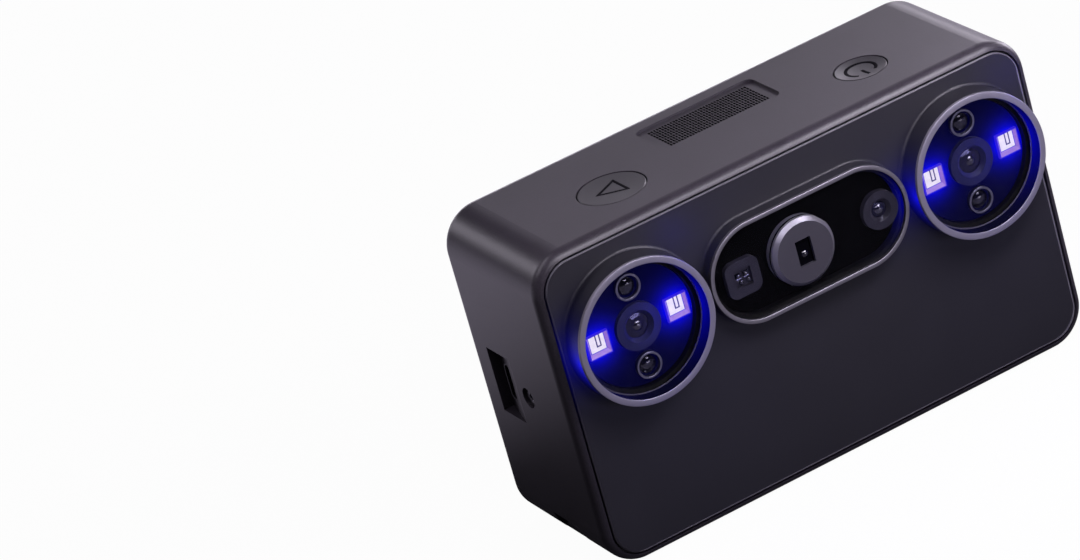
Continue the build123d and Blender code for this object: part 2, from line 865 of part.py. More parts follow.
with BuildPart() as display_panel:
    with BuildSketch(rear(display_glass_thickness)):
        screen(display_ledge + seat_gap)
    extrude(amount=display_panel_thickness)
save(display_panel, "display_panel")

# Main board on standoffs, with its heat sink
standoff_x = (display_width / 2 - display_ledge + inner_x) / 2
standoff_places = [
    (sx * standoff_x, display_z + sz * (display_height / 2 - display_ledge - standoff_radius))
    for sx in (-1, 1)
    for sz in (-1, 1)
]
with BuildPart() as board_standoffs:
    with BuildSketch(rear(plate_thickness)):
        with Locations(*standoff_places):
            Circle(standoff_radius)
    extrude(amount=standoff_length)
save(board_standoffs, "board_standoffs")

board_head = fan_foot - moving_gap
with BuildPart() as main_board:
    with BuildSketch(rear(board_depth)):
        with Locations((0, (board_foot + board_head) / 2)):
            RectangleRounded(2 * (inner_x - board_margin), board_head - board_foot, board_margin)
        # Notch round the charging port's block
        with Locations((-side_x, mid_z)):
            Rectangle(2 * (block_reach + loose_gap), block_tall + 2 * loose_gap, mode=Mode.SUBTRACT)
    extrude(amount=board_thickness)
save(main_board, "main_board")

sink_foot = board_head - sink_height
sink_pitch = (sink_width - sink_fin) / (sink_fins - 1)
with BuildPart() as heat_sink:
    with BuildSketch(across(board_front_y)):
        with Locations((0, sink_foot + sink_height / 2)):
            Rectangle(sink_width, sink_height)
    extrude(amount=sink_base)
    with BuildSketch(across(board_front_y - sink_base)):
        with Locations((0, sink_foot + sink_height / 2)):
            with GridLocations(sink_pitch, 0, sink_fins, 1):
                Rectangle(sink_fin, sink_height)
    extrude(amount=sink_depth - sink_base)
save(heat_sink, "heat_sink")

# Cooling fan under the top grille
with BuildPart() as fan_frame:
    with BuildSketch(level(fan_foot)):
        with Locations((0, fan_y)):
            RectangleRounded(fan_size, fan_size, fan_corner)
            Circle(fan_duct_radius, mode=Mode.SUBTRACT)
    extrude(amount=fan_height)
    with BuildSketch(level(fan_foot)):
        with Locations((0, fan_y)):
            Circle(fan_hub_radius)
            Rectangle(2 * fan_duct_radius + fan_spoke / 2, fan_spoke)
            Rectangle(fan_spoke, 2 * fan_duct_radius + fan_spoke / 2)
    extrude(amount=fan_web)
    with BuildSketch(level(fan_foot + fan_web)):
        with Locations((0, fan_y)):
            Circle(fan_axle_radius)
    extrude(amount=fan_height - 2 * fan_web)
save(fan_frame, "fan_frame")

rotor_foot = fan_foot + fan_web + moving_gap
rotor_height = fan_height - 2 * fan_web - moving_gap
with BuildPart() as fan_rotor:
    with BuildSketch(level(rotor_foot)):
        with Locations((0, fan_y)):
            Circle(fan_hub_radius)
    extrude(amount=rotor_height)
    blade_start = fan_hub_radius - fan_blade_thickness
    blade_end = fan_duct_radius - fan_tip_gap - fan_blade_chord**2 / (8 * fan_duct_radius)
    for blade in range(fan_blades):
        outward = Vector(1, 0, 0).rotate(Axis.Z, blade * 360 / fan_blades)
        root = Vector(0, fan_y, rotor_foot + rotor_height / 2) + outward * blade_start
        with BuildSketch(Plane(origin=root, x_dir=Vector(0, 0, 1).cross(outward), z_dir=outward)):
            Rectangle(fan_blade_chord, fan_blade_thickness, rotation=fan_blade_pitch)
        extrude(amount=blade_end - blade_start)
    with BuildSketch(level(rotor_foot)):
        with Locations((0, fan_y)):
            Circle(fan_axle_radius + running_gap)
    extrude(amount=rotor_height, mode=Mode.SUBTRACT)
save(fan_rotor, "fan_rotor")


# Grilles: perforated plates that sit just under the surface
def grille_holes(width, depth):
    """Grid of small holes that fills a field of the given size."""
    columns = int((width - 2 * grille_hole_radius) / grille_hole_pitch) + 1
    rows = int((depth - 2 * grille_hole_radius) / grille_hole_pitch) + 1
    with GridLocations(grille_hole_pitch, grille_hole_pitch, columns, rows):
        Circle(grille_hole_radius, mode=Mode.SUBTRACT)


with BuildPart() as top_grille:
    with BuildSketch(level(case_height - grille_sink - grille_thickness)):
        with Locations((0, top_vent_y)):
            RectangleRounded(top_vent_width, top_vent_depth, grille_corner)
            grille_holes(top_vent_width - 3 * grille_ledge, top_vent_depth - 3 * grille_ledge)
    extrude(amount=grille_thickness)
save(top_grille, "top_grille")

bottom_field = bottom_vent_depth - 3 * grille_ledge
front_patch = (bottom_field - bottom_vent_bar) * bottom_front_share
rear_patch = bottom_field - bottom_vent_bar - front_patch
with BuildPart() as bottom_grille:
    with BuildSketch(level(grille_sink)):
        with Locations((bottom_vent_x, mid_y)):
            RectangleRounded(bottom_vent_width, bottom_vent_depth, grille_corner)
        with Locations((bottom_vent_x, mid_y + (front_patch - bottom_field) / 2)):
            grille_holes(bottom_vent_width - 3 * grille_ledge, front_patch)
        with Locations((bottom_vent_x, mid_y + (bottom_field - rear_patch) / 2)):
            grille_holes(bottom_vent_width - 3 * grille_ledge, rear_patch)
    extrude(amount=grille_thickness)
save(bottom_grille, "bottom_grille")


# Top buttons, each over a switch on its own small board
def button_set(name, x, cap_radius, dish):
    """Make the cap, the switch and the board of one button."""
    with BuildPart() as cap:
        with BuildSketch(level(flange_top)):
            with Locations((x, button_y)):
                Circle(cap_radius)
        extrude(amount=case_height - flange_top)
        with BuildSketch(level(flange_top)):
            with Locations((x, button_y)):
                Circle(cap_radius + button_flange)
        extrude(amount=-button_flange_thickness)
        with BuildSketch(level(stem_foot)):
            with Locations((x, button_y)):
                Circle(button_stem_radius)
        extrude(amount=button_stem_length)
        # The dished top is a shallow cut by a large ball
        dish_ball = (cap_radius**2 + dish**2) / (2 * dish)
        with Locations((x, button_y, case_height - dish + dish_ball)):
            Sphere(dish_ball, mode=Mode.SUBTRACT)
        chamfer(cap.edges().sort_by(Axis.Z)[-1], button_edge)
    save(cap, f"{name}_button")

    with BuildPart() as switch:
        with BuildSketch(level(switch_foot)):
            with Locations((x, button_y)):
                Rectangle(switch_size, switch_size)
        extrude(amount=switch_height - switch_plunger_height)
        with BuildSketch(level(switch_top)):
            with Locations((x, button_y)):
                Circle(switch_plunger_radius)
        extrude(amount=-switch_plunger_height)
    save(switch, f"{name}_switch")

    post_reach = cap_radius + button_flange + button_post_radius + moving_gap
    with BuildPart() as board:
        with BuildSketch(level(switch_foot)):
            with Locations((x, button_y)):
                RectangleRounded(
                    2 * (post_reach + button_post_radius), button_board_depth, button_post_radius
                )
        extrude(amount=-button_board_thickness)
    save(board, f"{name}_board")


for button_name, (cap_x, cap_radius) in button_places.items():
    button_set(button_name, cap_x, cap_radius, button_dishes[button_name])

# Charging port, lock screw insert
port_mouth_x = -side_x + port_floor
with BuildPart() as usb_port:
    with BuildSketch(side(port_mouth_x)):
        with Locations((port_y, mid_z)):
            SlotOverall(port_shell_length, port_shell_width, rotation=90)
            SlotOverall(
                port_shell_length - 2 * port_shell_wall,
                port_shell_width - 2 * port_shell_wall,
                rotation=90,
                mode=Mode.SUBTRACT,
            )
    extrude(amount=port_shell_depth)
    with BuildSketch(side(port_mouth_x + port_shell_depth)):
        with Locations((port_y, mid_z)):
            SlotOverall(port_shell_length, port_shell_width, rotation=90)
    extrude(amount=port_shell_wall)
    with BuildSketch(side(port_mouth_x + port_shell_depth)):
        with Locations((port_y, mid_z)):
            Rectangle(port_tongue_thickness, port_shell_length - 2 * port_shell_width / 3)
    extrude(amount=-port_shell_depth + port_shell_width / 3)
save(usb_port, "usb_port")

with BuildPart() as lock_insert:
    with BuildSketch(side(-side_x + lock_mouth_depth)):
        with Locations((lock_y, mid_z)):
            Circle(lock_insert_radius)
            Circle(lock_bore_radius, mode=Mode.SUBTRACT)
    extrude(amount=lock_insert_length)
save(lock_insert, "lock_insert")

# Radio panel, mode switch, antenna and microphone on the +X side
with BuildPart() as radio_panel:
    with BuildSketch(side(side_x - panel_thickness)):
        with Locations((mid_y + (panel_back - panel_front) / 2, panel_foot + panel_height / 2)):
            RectangleRounded(
                panel_front + panel_back - 2 * loose_gap,
                panel_height - 2 * loose_gap,
                panel_corner - loose_gap,
            )
        with Locations((mode_y, mode_z)):
            SlotOverall(mode_slot_length, mode_slot_height, mode=Mode.SUBTRACT)
    extrude(amount=panel_thickness)
save(radio_panel, "radio_panel")

mode_pocket = mode_travel + mode_knob_height + 2 * moving_gap
with BuildPart() as mode_switch_body:
    with BuildSketch(side(inner_x)):
        with Locations((mode_y, mode_z)):
            Rectangle(
                mode_slot_length + 2 * mode_body_margin, mode_slot_height + 2 * mode_body_margin
            )
    extrude(amount=-mode_body_depth)
    with BuildSketch(side(inner_x)):
        with Locations((mode_y, mode_z)):
            Rectangle(mode_knob_length + 2 * moving_gap, mode_pocket)
    extrude(amount=-mode_body_depth / 2, mode=Mode.SUBTRACT)
save(mode_switch_body, "mode_switch_body")

knob_foot_x = inner_x - mode_body_depth / 2 + moving_gap
with BuildPart() as mode_switch:
    with BuildSketch(side(knob_foot_x)):
        with Locations((mode_y, mode_knob_z)):
            RectangleRounded(mode_knob_length, mode_knob_height, mode_knob_height / 3)
    extrude(amount=side_x - mode_knob_sink - knob_foot_x)
save(mode_switch, "mode_switch")

antenna_z = mode_z + mode_slot_height / 2 + mode_body_margin + moving_gap + antenna_height / 2
with BuildPart() as antenna_board:
    with BuildSketch(side(inner_x)):
        with Locations((mode_y, antenna_z)):
            Rectangle(antenna_length, antenna_height)
    extrude(amount=-antenna_thickness)
save(antenna_board, "antenna_board")

with BuildPart() as microphone:
    with BuildSketch(side(inner_x)):
        with Locations((pin_hole_y, pin_hole_z)):
            Circle(microphone_radius)
    extrude(amount=-microphone_length)
save(microphone, "microphone")

# Battery door: a bent panel that follows the casing round its bottom corner
with BuildPart() as battery_door:
    with BuildSketch(side(door_tail_x)):
        with Locations((door_y, (door_top - overrun) / 2)):
            Rectangle(door_length, door_top + overrun)
    extrude(amount=side_x - door_tail_x)
    fillet(battery_door.edges().filter_by(Axis.X).group_by(Axis.Z)[-1], door_corner)
    with BuildSketch(rear(-overrun)):
        case_outline(0)
    extrude(amount=case_depth + 2 * overrun, mode=Mode.INTERSECT)
    with BuildSketch(rear(-overrun)):
        case_outline(door_thickness)
    extrude(amount=case_depth + 2 * overrun, mode=Mode.SUBTRACT)
    with BuildSketch(across(mid_y + door_back)):
        with Locations((hinge_x, hinge_z)):
            Circle(hinge_barrel_radius)
    extrude(amount=door_length)
    with BuildSketch(across(mid_y + door_back)):
        with Locations((hinge_x, hinge_z)):
            Circle(hinge_pin_radius + running_gap)
    extrude(amount=door_length, mode=Mode.SUBTRACT)
    # Finger gap in the middle of the top edge
    with BuildSketch(side(door_tail_x)):
        with Locations((latch_y, door_top)):
            Rectangle(finger_gap_length, 2 * finger_gap_height)
    extrude(amount=side_x - door_tail_x, mode=Mode.SUBTRACT)
    # Latch recess and the slot for the latch's neck
    with BuildSketch(side(side_x)):
        with Locations((latch_y, latch_z)):
            Rectangle(latch_recess_size, latch_recess_size)
    extrude(amount=-latch_recess_depth, mode=Mode.SUBTRACT)
    with BuildSketch(side(side_x)):
        with Locations((latch_y, latch_z + latch_travel / 2)):
            Rectangle(
                latch_neck_width + 2 * moving_gap, latch_neck_height + latch_travel + 2 * moving_gap
            )
    extrude(amount=-door_thickness, mode=Mode.SUBTRACT)
save(battery_door, "battery_door")

with BuildPart() as hinge_pin:
    with BuildSketch(across(mid_y + door_back + moving_gap + hinge_pin_hold)):
        with Locations((hinge_x, hinge_z)):
            Circle(hinge_pin_radius)
    extrude(amount=door_length + 2 * (moving_gap + hinge_pin_hold))
save(hinge_pin, "hinge_pin")

# Latch: a knob in the recess, a neck through the door and a tongue behind it
knob_foot = latch_recess_floor + moving_gap
tongue_foot = latch_z - latch_neck_height
with BuildPart() as battery_latch:
    with BuildSketch(side(knob_foot)):
        with Locations((latch_y, latch_z)):
            Rectangle(latch_recess_size - 2 * moving_gap, latch_knob_height)
    extrude(amount=side_x - seat_gap - knob_foot)
    with BuildSketch(side(tongue_outer_x)):
        with Locations((latch_y, latch_z)):
            Rectangle(latch_neck_width, latch_neck_height)
    extrude(amount=knob_foot - tongue_outer_x)
    with BuildSketch(side(tongue_inner_x)):
        with Locations((latch_y, (tongue_foot + tongue_top) / 2)):
            Rectangle(latch_tongue_width, tongue_top - tongue_foot)
    extrude(amount=latch_tongue_thickness)
save(battery_latch, "battery_latch")

# Battery bay, pack and contacts
with BuildPart() as battery_bay:
    with BuildSketch(side(bay_inner_x)):
        with Locations((bay_y, bay_mid_z)):
            RectangleRounded(
                bay_length_y + 2 * bay_wall, bay_tall + 2 * bay_wall, battery_corner + bay_wall
            )
    extrude(amount=inner_x - bay_inner_x)
    with BuildSketch(side(bay_inner_x + bay_wall)):
        with Locations((bay_y, bay_mid_z)):
            RectangleRounded(bay_length_y, bay_tall, battery_corner)
    extrude(amount=inner_x - bay_inner_x, mode=Mode.SUBTRACT)
    with BuildSketch(side(inner_x)):
        with Locations((latch_y, bay_top + bay_wall)):
            Rectangle(latch_tongue_width + 2 * moving_gap, 2 * bay_wall + loose_gap)
    extrude(amount=-moving_gap - latch_tongue_thickness, mode=Mode.SUBTRACT)
save(battery_bay, "battery_bay")

with BuildPart() as battery_contacts:
    with BuildSketch(side(bay_inner_x + bay_wall)):
        with Locations((bay_y, bay_mid_z)):
            with GridLocations(0, 2 * contact_height / 3, 1, 2):
                Rectangle(contact_depth, contact_height / 3)
    extrude(amount=contact_length)
save(battery_contacts, "battery_contacts")

with BuildPart() as battery_pack:
    with BuildSketch(side(contact_end_x)):
        with Locations((bay_y, bay_mid_z - battery_gap / 2)):
            RectangleRounded(
                bay_length_y - 2 * battery_gap, bay_tall - battery_gap, battery_corner - battery_gap
            )
    extrude(amount=battery_end_x - contact_end_x)
save(battery_pack, "battery_pack")

# Bottom plates, tripod insert and corner screws
with BuildPart() as large_label:
    with BuildSketch(level(label_sink - label_thickness)):
        with Locations((large_label_x, mid_y)):
            RectangleRounded(
                large_label_width - 2 * seat_gap, label_depth - 2 * seat_gap, label_corner - seat_gap
            )
        with Locations((0, tripod_y)):
            Circle(tripod_recess_radius, mode=Mode.SUBTRACT)
    extrude(amount=label_thickness)
save(large_label, "large_label")

with BuildPart() as small_label:
    with BuildSketch(level(label_sink - label_thickness)):
        with Locations((small_label_x, mid_y)):
            RectangleRounded(
                small_label_width - 2 * seat_gap, label_depth - 2 * seat_gap, label_corner - seat_gap
            )
    extrude(amount=label_thickness)
save(small_label, "small_label")

with BuildPart() as tripod_insert:
    with BuildSketch(level(tripod_recess_depth)):
        with Locations((0, tripod_y)):
            Circle(tripod_insert_radius)
            Circle(tripod_bore_radius, mode=Mode.SUBTRACT)
    extrude(amount=tripod_insert_length)
    chamfer(tripod_insert.faces().sort_by(Axis.Z)[0].inner_wires()[0].edges(), tripod_chamfer)
save(tripod_insert, "tripod_insert")

with BuildPart() as corner_screws:
    with BuildSketch(level(screw_head_sink)):
        with Locations(*screw_places):
            Circle(screw_head_radius)
    extrude(amount=screw_head_height)
    with BuildSketch(level(screw_head_sink + screw_head_height)):
        with Locations(*screw_places):
            Circle(screw_shank_radius)
    extrude(amount=screw_length)
    with BuildSketch(level(screw_head_sink)):
        with Locations(*screw_places):
            RegularPolygon(screw_drive_radius, 6)
    extrude(amount=screw_drive_depth, mode=Mode.SUBTRACT)
save(corner_screws, "corner_screws")
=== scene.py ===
# %% [markdown]
# # A handheld three-d scanner, dressed in Blender
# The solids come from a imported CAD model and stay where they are. This lesson gives every visible solid
# a finish, replaces a few plain solids by finer pieces, and sets up the camera, the light and the floor.
# One could model all of it here, but the CAD solids already hold the true sizes and the moving joints.

# %% Load the frame
from math import atan2, pi, radians, sqrt

import bmesh
import bpy
from mathutils import Matrix, Vector


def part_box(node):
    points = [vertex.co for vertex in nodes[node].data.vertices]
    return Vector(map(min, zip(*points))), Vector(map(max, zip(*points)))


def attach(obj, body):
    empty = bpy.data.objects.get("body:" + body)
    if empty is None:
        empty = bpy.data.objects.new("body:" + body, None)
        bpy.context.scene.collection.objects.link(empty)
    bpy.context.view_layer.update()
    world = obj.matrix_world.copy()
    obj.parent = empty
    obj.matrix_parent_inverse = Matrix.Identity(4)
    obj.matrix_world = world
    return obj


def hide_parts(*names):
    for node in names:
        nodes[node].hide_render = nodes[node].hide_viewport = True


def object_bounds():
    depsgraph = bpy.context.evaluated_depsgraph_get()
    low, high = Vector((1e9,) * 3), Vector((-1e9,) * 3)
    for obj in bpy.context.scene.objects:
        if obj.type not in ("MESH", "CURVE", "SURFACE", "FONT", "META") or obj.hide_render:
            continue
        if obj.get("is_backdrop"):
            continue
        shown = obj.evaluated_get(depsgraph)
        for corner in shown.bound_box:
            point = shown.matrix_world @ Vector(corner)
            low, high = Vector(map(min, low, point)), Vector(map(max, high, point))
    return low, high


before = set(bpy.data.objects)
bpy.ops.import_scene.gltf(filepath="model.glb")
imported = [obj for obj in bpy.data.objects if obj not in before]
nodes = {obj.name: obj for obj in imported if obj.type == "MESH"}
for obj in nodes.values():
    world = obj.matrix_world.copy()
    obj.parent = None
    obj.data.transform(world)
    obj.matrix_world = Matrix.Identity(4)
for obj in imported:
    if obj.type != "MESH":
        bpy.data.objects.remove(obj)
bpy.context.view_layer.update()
MM = 0.001

# %% [markdown]
# ## Places on the object
# Every later step needs a few places: the front face, the top, the centres of the round windows. They
# could be typed in again, but reading them from the solids' boxes keeps the pieces on the model.

# %% Read places from the solids
def middle(node):
    """Centre of a solid's box."""
    low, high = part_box(node)
    return (low + high) / 2


pill_stand = 3.0 * MM
front_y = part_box("pill_rim")[1].y + pill_stand
top_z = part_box("main_shell")[1].z
eyes = {hand: middle(f"window_{hand}") for hand in ("left", "right")}
print("front", round(front_y, 5), "top", round(top_z, 5), "eyes", eyes)

# %% [markdown]
# ## The camera
# The photograph is a long-lens product shot from the upper left, with the scanner tilted in the frame.
# A camera could be aimed by a constraint, but the tilt is then hard to set. Here its three axes were
# fitted to the outline of the casing, so they are written as the columns of one matrix.

# %% Place the camera
def deselect():
    """Go to object mode with nothing selected."""
    if bpy.context.mode != "OBJECT":
        bpy.ops.object.mode_set(mode="OBJECT")
    bpy.ops.object.select_all(action="DESELECT")


deselect()
bpy.ops.object.camera_add()
camera = bpy.context.object
camera.name = "product_camera"
right = Vector((0.841618, -0.478266, -0.250881))
down = Vector((-0.410812, -0.265369, -0.872246))
forward = Vector((0.350590, 0.837163, -0.419816))
place = Vector((-473.42, -1003.97, 565.71)) * MM
turn = Matrix((right, -down, -forward)).transposed().to_4x4()
camera.matrix_world = Matrix.Translation(place) @ turn
camera.data.sensor_fit = "HORIZONTAL"
camera.data.sensor_width = 36.0
camera.data.lens = 189.26
camera.data.clip_start, camera.data.clip_end = 0.01, 50.0
bpy.context.scene.camera = camera
bpy.context.scene.view_settings.view_transform = "Standard"
print("camera", camera.location[:], "lens", round(camera.data.lens, 2))

# %% [markdown]
# ## Colours and nodes
# Colours are read off the photograph as screen values, but shaders work in linear light, so one function
# converts them. Small functions add the nodes: each setting is a value or another node's output. Typing
# the node calls out each time also works, but hides what the material is about.

# %% Colour and node helpers
Output = bpy.types.NodeSocket


def tone(code, share=1.0):
    """Linear colour of a hex screen colour, or a share of its light."""
    parts = [int(code[i : i + 2], 16) / 255 for i in (1, 3, 5)]
    linear = [c / 12.92 if c <= 0.04045 else ((c + 0.055) / 1.055) ** 2.4 for c in parts]
    return [share * c for c in linear] + [1.0]


def feed(node, settings):
    """Set a node's properties and sockets; another node's output is linked in."""
    for key, value in settings.items():
        if isinstance(value, Output):
            node.id_data.links.new(value, node.inputs[key])
        elif isinstance(key, str) and hasattr(node, key):
            setattr(node, key, value)
        else:
            node.inputs[key].default_value = value
    return node


def put(kind, settings, tree=None):
    """Add a shader node with its settings, in the tree of the outputs that go into it."""
    if tree is None:
        tree = next(value.id_data for value in settings.values() if isinstance(value, Output))
    return feed(tree.nodes.new("ShaderNode" + kind), settings)


def calc(operation, *terms):
    """Result of a calculation with numbers."""
    return put("Math", {"operation": operation, **dict(enumerate(terms))}).outputs[0]


def vector(operation, *terms):
    """Result of a calculation with places; a length or a distance is a number."""
    node = put("VectorMath", {"operation": operation, **dict(enumerate(terms))})
    return node.outputs["Value" if operation in ("LENGTH", "DISTANCE") else "Vector"]


def blend(share, one, other):
    """Mix of two numbers."""
    return put("Mix", {"data_type": "FLOAT", 0: share, 2: one, 3: other}).outputs[0]


def mixed(share, one, other, way="MIX"):
    """Mix of two colours."""
    return put("Mix", {"data_type": "RGBA", "blend_type": way, 0: share, 6: one, 7: other}).outputs[2]


def own_place(tree):
    """Place in the object's own coordinates."""
    return put("TexCoord", {}, tree).outputs["Object"]


def new_finish(name, settings):
    """Start a material with its shader; settings are values on the shader's own sockets."""
    material = bpy.data.materials.new(name)
    material.use_nodes = True
    tree = material.node_tree
    tree.nodes.clear()
    shader = put("BsdfPrincipled", settings, tree)
    put("OutputMaterial", {"Surface": shader.outputs[0]})
    print("finish", name)
    return material, shader, own_place(tree)


print("tone check", [round(v, 3) for v in tone("#808080")])

# %% [markdown]
# ## Moulded casing plastic
# The casing is a glass-filled plastic moulded in a spark-eroded tool, which leaves a fine dry grain. The
# eye sees a dark grey that breaks up into tiny lighter and darker specks, and a broad soft highlight. A
# flat grey would look like clay, so two noises drive colour, roughness and a shallow bump. Here and below,
# each finish goes on its solids where it is made, and the names are kept, to see that none was missed.

# %% Casing finish
def per_mm(size_mm):
    """Texture scale whose features are about this many millimetres across."""
    return 1.0 / (size_mm * MM)


def noise(spot, size_mm, detail):
    """Soft noise with features of a size."""
    return put("TexNoise", {"Scale": per_mm(size_mm), "Detail": detail, "Vector": spot}).outputs[0]


def spread(value, low, high, start=0.0, end=1.0):
    """Number that goes from low to high while a value goes from start to end."""
    settings = {"Value": value, "From Min": start, "From Max": end, "To Min": low, "To Max": high}
    return put("MapRange", settings).outputs[0]


def relief(height, strength, depth_mm):
    """Shallow bump."""
    return put("Bump", {"Strength": strength, "Distance": depth_mm * MM, "Height": height}).outputs[0]


cloud_mm = 14.0


def grained(name, settings, size_mm, detail, tones=(), stops=(0.0, 1.0), rough=(), bump=(), cloud=0.0,
            stretch=None, lit=False):
    """Finish whose colour, roughness and bump follow one noise; a lit finish gives its colour off."""
    material, shader, spot = new_finish(name, settings)
    grain = noise(vector("MULTIPLY", spot, stretch) if stretch else spot, size_mm, detail)
    if tones:
        specks = blend(cloud, grain, noise(spot, cloud_mm, 1.0)) if cloud else grain
        ramp = put("ValToRGB", {"Fac": specks})
        for stop, position, colour in zip(ramp.color_ramp.elements, stops, tones):
            stop.position, stop.color = position, colour
        feed(shader, {"Emission Color" if lit else "Base Color": ramp.outputs[0]})
    if rough:
        feed(shader, {"Roughness": spread(grain, *rough)})
    if bump:
        feed(shader, {"Normal": relief(grain, *bump)})
    return material


def moulded(name, dark, light, rough, grain_mm, bump, shine=0.5):
    """Spark-eroded moulded plastic; grain_mm is drawn a little coarser than life so that it shows."""
    return grained(name, {"IOR": 1.5, "Specular IOR Level": shine}, grain_mm, 2.0, (tone(dark), tone(light)),
                   (0.32, 0.68), (rough - 0.06, rough + 0.08), (bump, 0.04), cloud=0.25)


dressed = set()


def dress(material, *names):
    """Put a finish on solids, in their first slot."""
    for name in names:
        nodes[name].data.materials.clear()
        nodes[name].data.materials.append(material)
    dressed.update(names)
    return material


casing_plastic = dress(moulded("moulded_casing_plastic", "#302c33", "#3e3a42", 0.38, 0.32, 0.3), "main_shell",
                       "radio_panel", "battery_door", "top_grille", "bottom_grille")
dress(moulded("moulded_bezel_plastic", "#2f2e32", "#3a393d", 0.42, 0.28, 0.25), "rear_bezel")
dress(moulded("moulded_cap_plastic", "#2c2a2f", "#38363b", 0.38, 0.24, 0.2), "scan_button", "power_button",
      "mode_switch", "battery_latch")
dress(moulded("moulded_bay_plastic", "#232225", "#2e2d30", 0.55, 0.4, 0.2), "battery_bay")

# %% [markdown]
# ## Satin front plate
# The front plate is a darker, finer panel with a soft-touch coat, so it is smoother than the casing and
# shows a wide, weak sheen. Its edge chamfer, and a wider band along its right and bottom edges, are
# painted lighter as painted highlights. Its three openings are painted black inside. Circle, pill and
# rounded plate are one shape with straight parts of different lengths, so one function masks them all.

# %% Front plate finish
front_satin = moulded("soft_touch_front_coat", "#212027", "#2a2930", 0.42, 0.16, 0.08, 0.45)
dress(front_satin, "front_plate")


def overpaint(material, code, mask):
    """Change the base colour where a mask is one."""
    shader = material.node_tree.nodes["Principled BSDF"]
    base = shader.inputs["Base Color"]
    coat = base.links[0].from_socket if base.is_linked else list(base.default_value)
    feed(shader, {"Base Color": mixed(mask, coat, tone(code))})


def paint_edge_highlight(material, code, depth, width):
    """Paint a lighter band along an edge that lies a little behind the front, as a painted highlight."""
    apart = put("SeparateXYZ", {0: own_place(material.node_tree)})
    overpaint(material, code, calc("COMPARE", apart.outputs["Y"], depth, width / 2))


def paint_shape(material, code, centre, half, radius, test="LESS_THAN"):
    """Paint a rounded shape seen from the front; half is half of its straight parts along X and Z."""
    size = vector("ABSOLUTE", vector("SUBTRACT", own_place(material.node_tree), centre))
    past = vector("MAXIMUM", vector("SUBTRACT", size, (half[0], 0, half[1])), (0, 0, 0))
    gap = vector("LENGTH", vector("MULTIPLY", past, (1, 0, 1)))
    overpaint(material, code, calc(test, gap, radius))


# The chamfer round the plate's face is painted a lighter grey: a painted highlight.
bevel_depth, bevel_width = 0.17 * MM, 0.28 * MM
paint_edge_highlight(front_satin, "#57555d", front_y + bevel_depth, bevel_width)
paint_black, pill_margin, eye_paint = "#050506", 0.3 * MM, 15.2 * MM
low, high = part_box("pill_window")
pill_bore = (high.z - low.z) / 2
pill_straight = (high.x - low.x) / 2 - pill_bore
paint_shape(front_satin, paint_black, middle("pill_window"), (pill_straight, 0), pill_bore + pill_margin)
for eye in eyes.values():
    paint_shape(front_satin, paint_black, eye, (0, 0), eye_paint)
low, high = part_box("front_plate")
plate_corner, lip_highlight_width = 6.8 * MM, 0.5 * MM
plate_half = (high.x - low.x) / 2 - plate_corner, (high.z - low.z) / 2 - plate_corner
# A lighter band along the plate's right and bottom edges is a painted highlight on its lip.
lip_highlight_mid = middle("front_plate") + Vector((-lip_highlight_width, 0, lip_highlight_width))
paint_shape(front_satin, "#706e75", lip_highlight_mid, plate_half, plate_corner, "GREATER_THAN")
print("plate corner and lip", plate_corner, lip_highlight_width)

# %% [markdown]
# ## Metals
# The window rings are turned aluminium with a grey anodised coat. The projector barrel is darker, and its
# bevelled edge is painted lighter all round, as a painted highlight. Turning leaves fine circles round the
# axis; the eye sees them as a slight streak in the highlight. Rings in a wave texture give those circles,
# with the piece's own centre taken off the coordinates, so that the axis lies in it.

# %% Turned and plain metals
def turned(name, code, rough, centre, pitch_mm, metal):
    """Metal turned about an axis along Y through a centre."""
    material, shader, spot = new_finish(name, {"Metallic": metal, "Base Color": tone(code)})
    circles = put("TexWave", {
        "wave_type": "RINGS", "rings_direction": "Y", "Scale": per_mm(pitch_mm) / 20, "Distortion": 0.4,
        "Vector": vector("SUBTRACT", spot, centre),
    }).outputs[1]
    both = blend(0.6, circles, noise(spot, 0.5, 3.0))
    gloss = spread(both, rough - 0.07, rough + 0.07)
    feed(shader, {"Roughness": gloss, "Normal": relief(circles, 0.03, 0.02)})
    return material


def brushed(name, code, rough):
    """Plain machined metal with fine scratches along X."""
    return grained(name, {"Metallic": 1.0}, 0.3, 3.0, (tone(code, 0.8), tone(code)),
                   rough=(rough - 0.08, rough + 0.1), stretch=(0.08, 1.0, 1.0))


ring_metal = {}
for hand, eye in eyes.items():
    ring_metal[hand] = turned(f"anodised_ring_{hand}", "#9b98a6", 0.42, eye, 0.25, 0.65)
    dress(ring_metal[hand], f"lens_ring_{hand}")
rim_metal = dress(brushed("anodised_pill_rim", "#aba8b3", 0.4), "pill_rim")
barrel_mid, bevel_highlight_from = middle("projector_barrel"), 6.85 * MM
barrel_metal = turned("anodised_projector_barrel", "#5b5962", 0.38, barrel_mid, 0.3, 0.6)
dress(barrel_metal, "projector_barrel")
# The edge of the barrel's face is painted lighter all round: a painted highlight on its bevel.
paint_shape(barrel_metal, "#8f8d96", barrel_mid, (0, 0), bevel_highlight_from, "GREATER_THAN")
dress(brushed("turned_steel", "#c4c4c8", 0.28), "hinge_pin", "tripod_insert", "board_standoffs",
      "lock_insert")
dress(brushed("blackened_steel", "#3a3a3e", 0.38), "usb_port", "corner_screws")
dress(brushed("milled_aluminium", "#b9bbc0", 0.34), "optical_bench", "heat_sink")
dress(brushed("plated_contact_brass", "#d6a850", 0.3), "battery_contacts")

# %% [markdown]
# ## Glass, black optics and lens coatings
# The windows are flat coated glass over black parts. Glass passes light, bends it a little and mirrors the
# studio, and the shader's own transmission does all three. A coating takes most of the mirror away, so a
# dark tint on the reflection stands for it, and the glass throws no shadow, so that the studio's light
# reaches what lies behind it. The black parts behind the glass are matt, and the lens barrels half-gloss, so
# that small glints stay in the lenses.

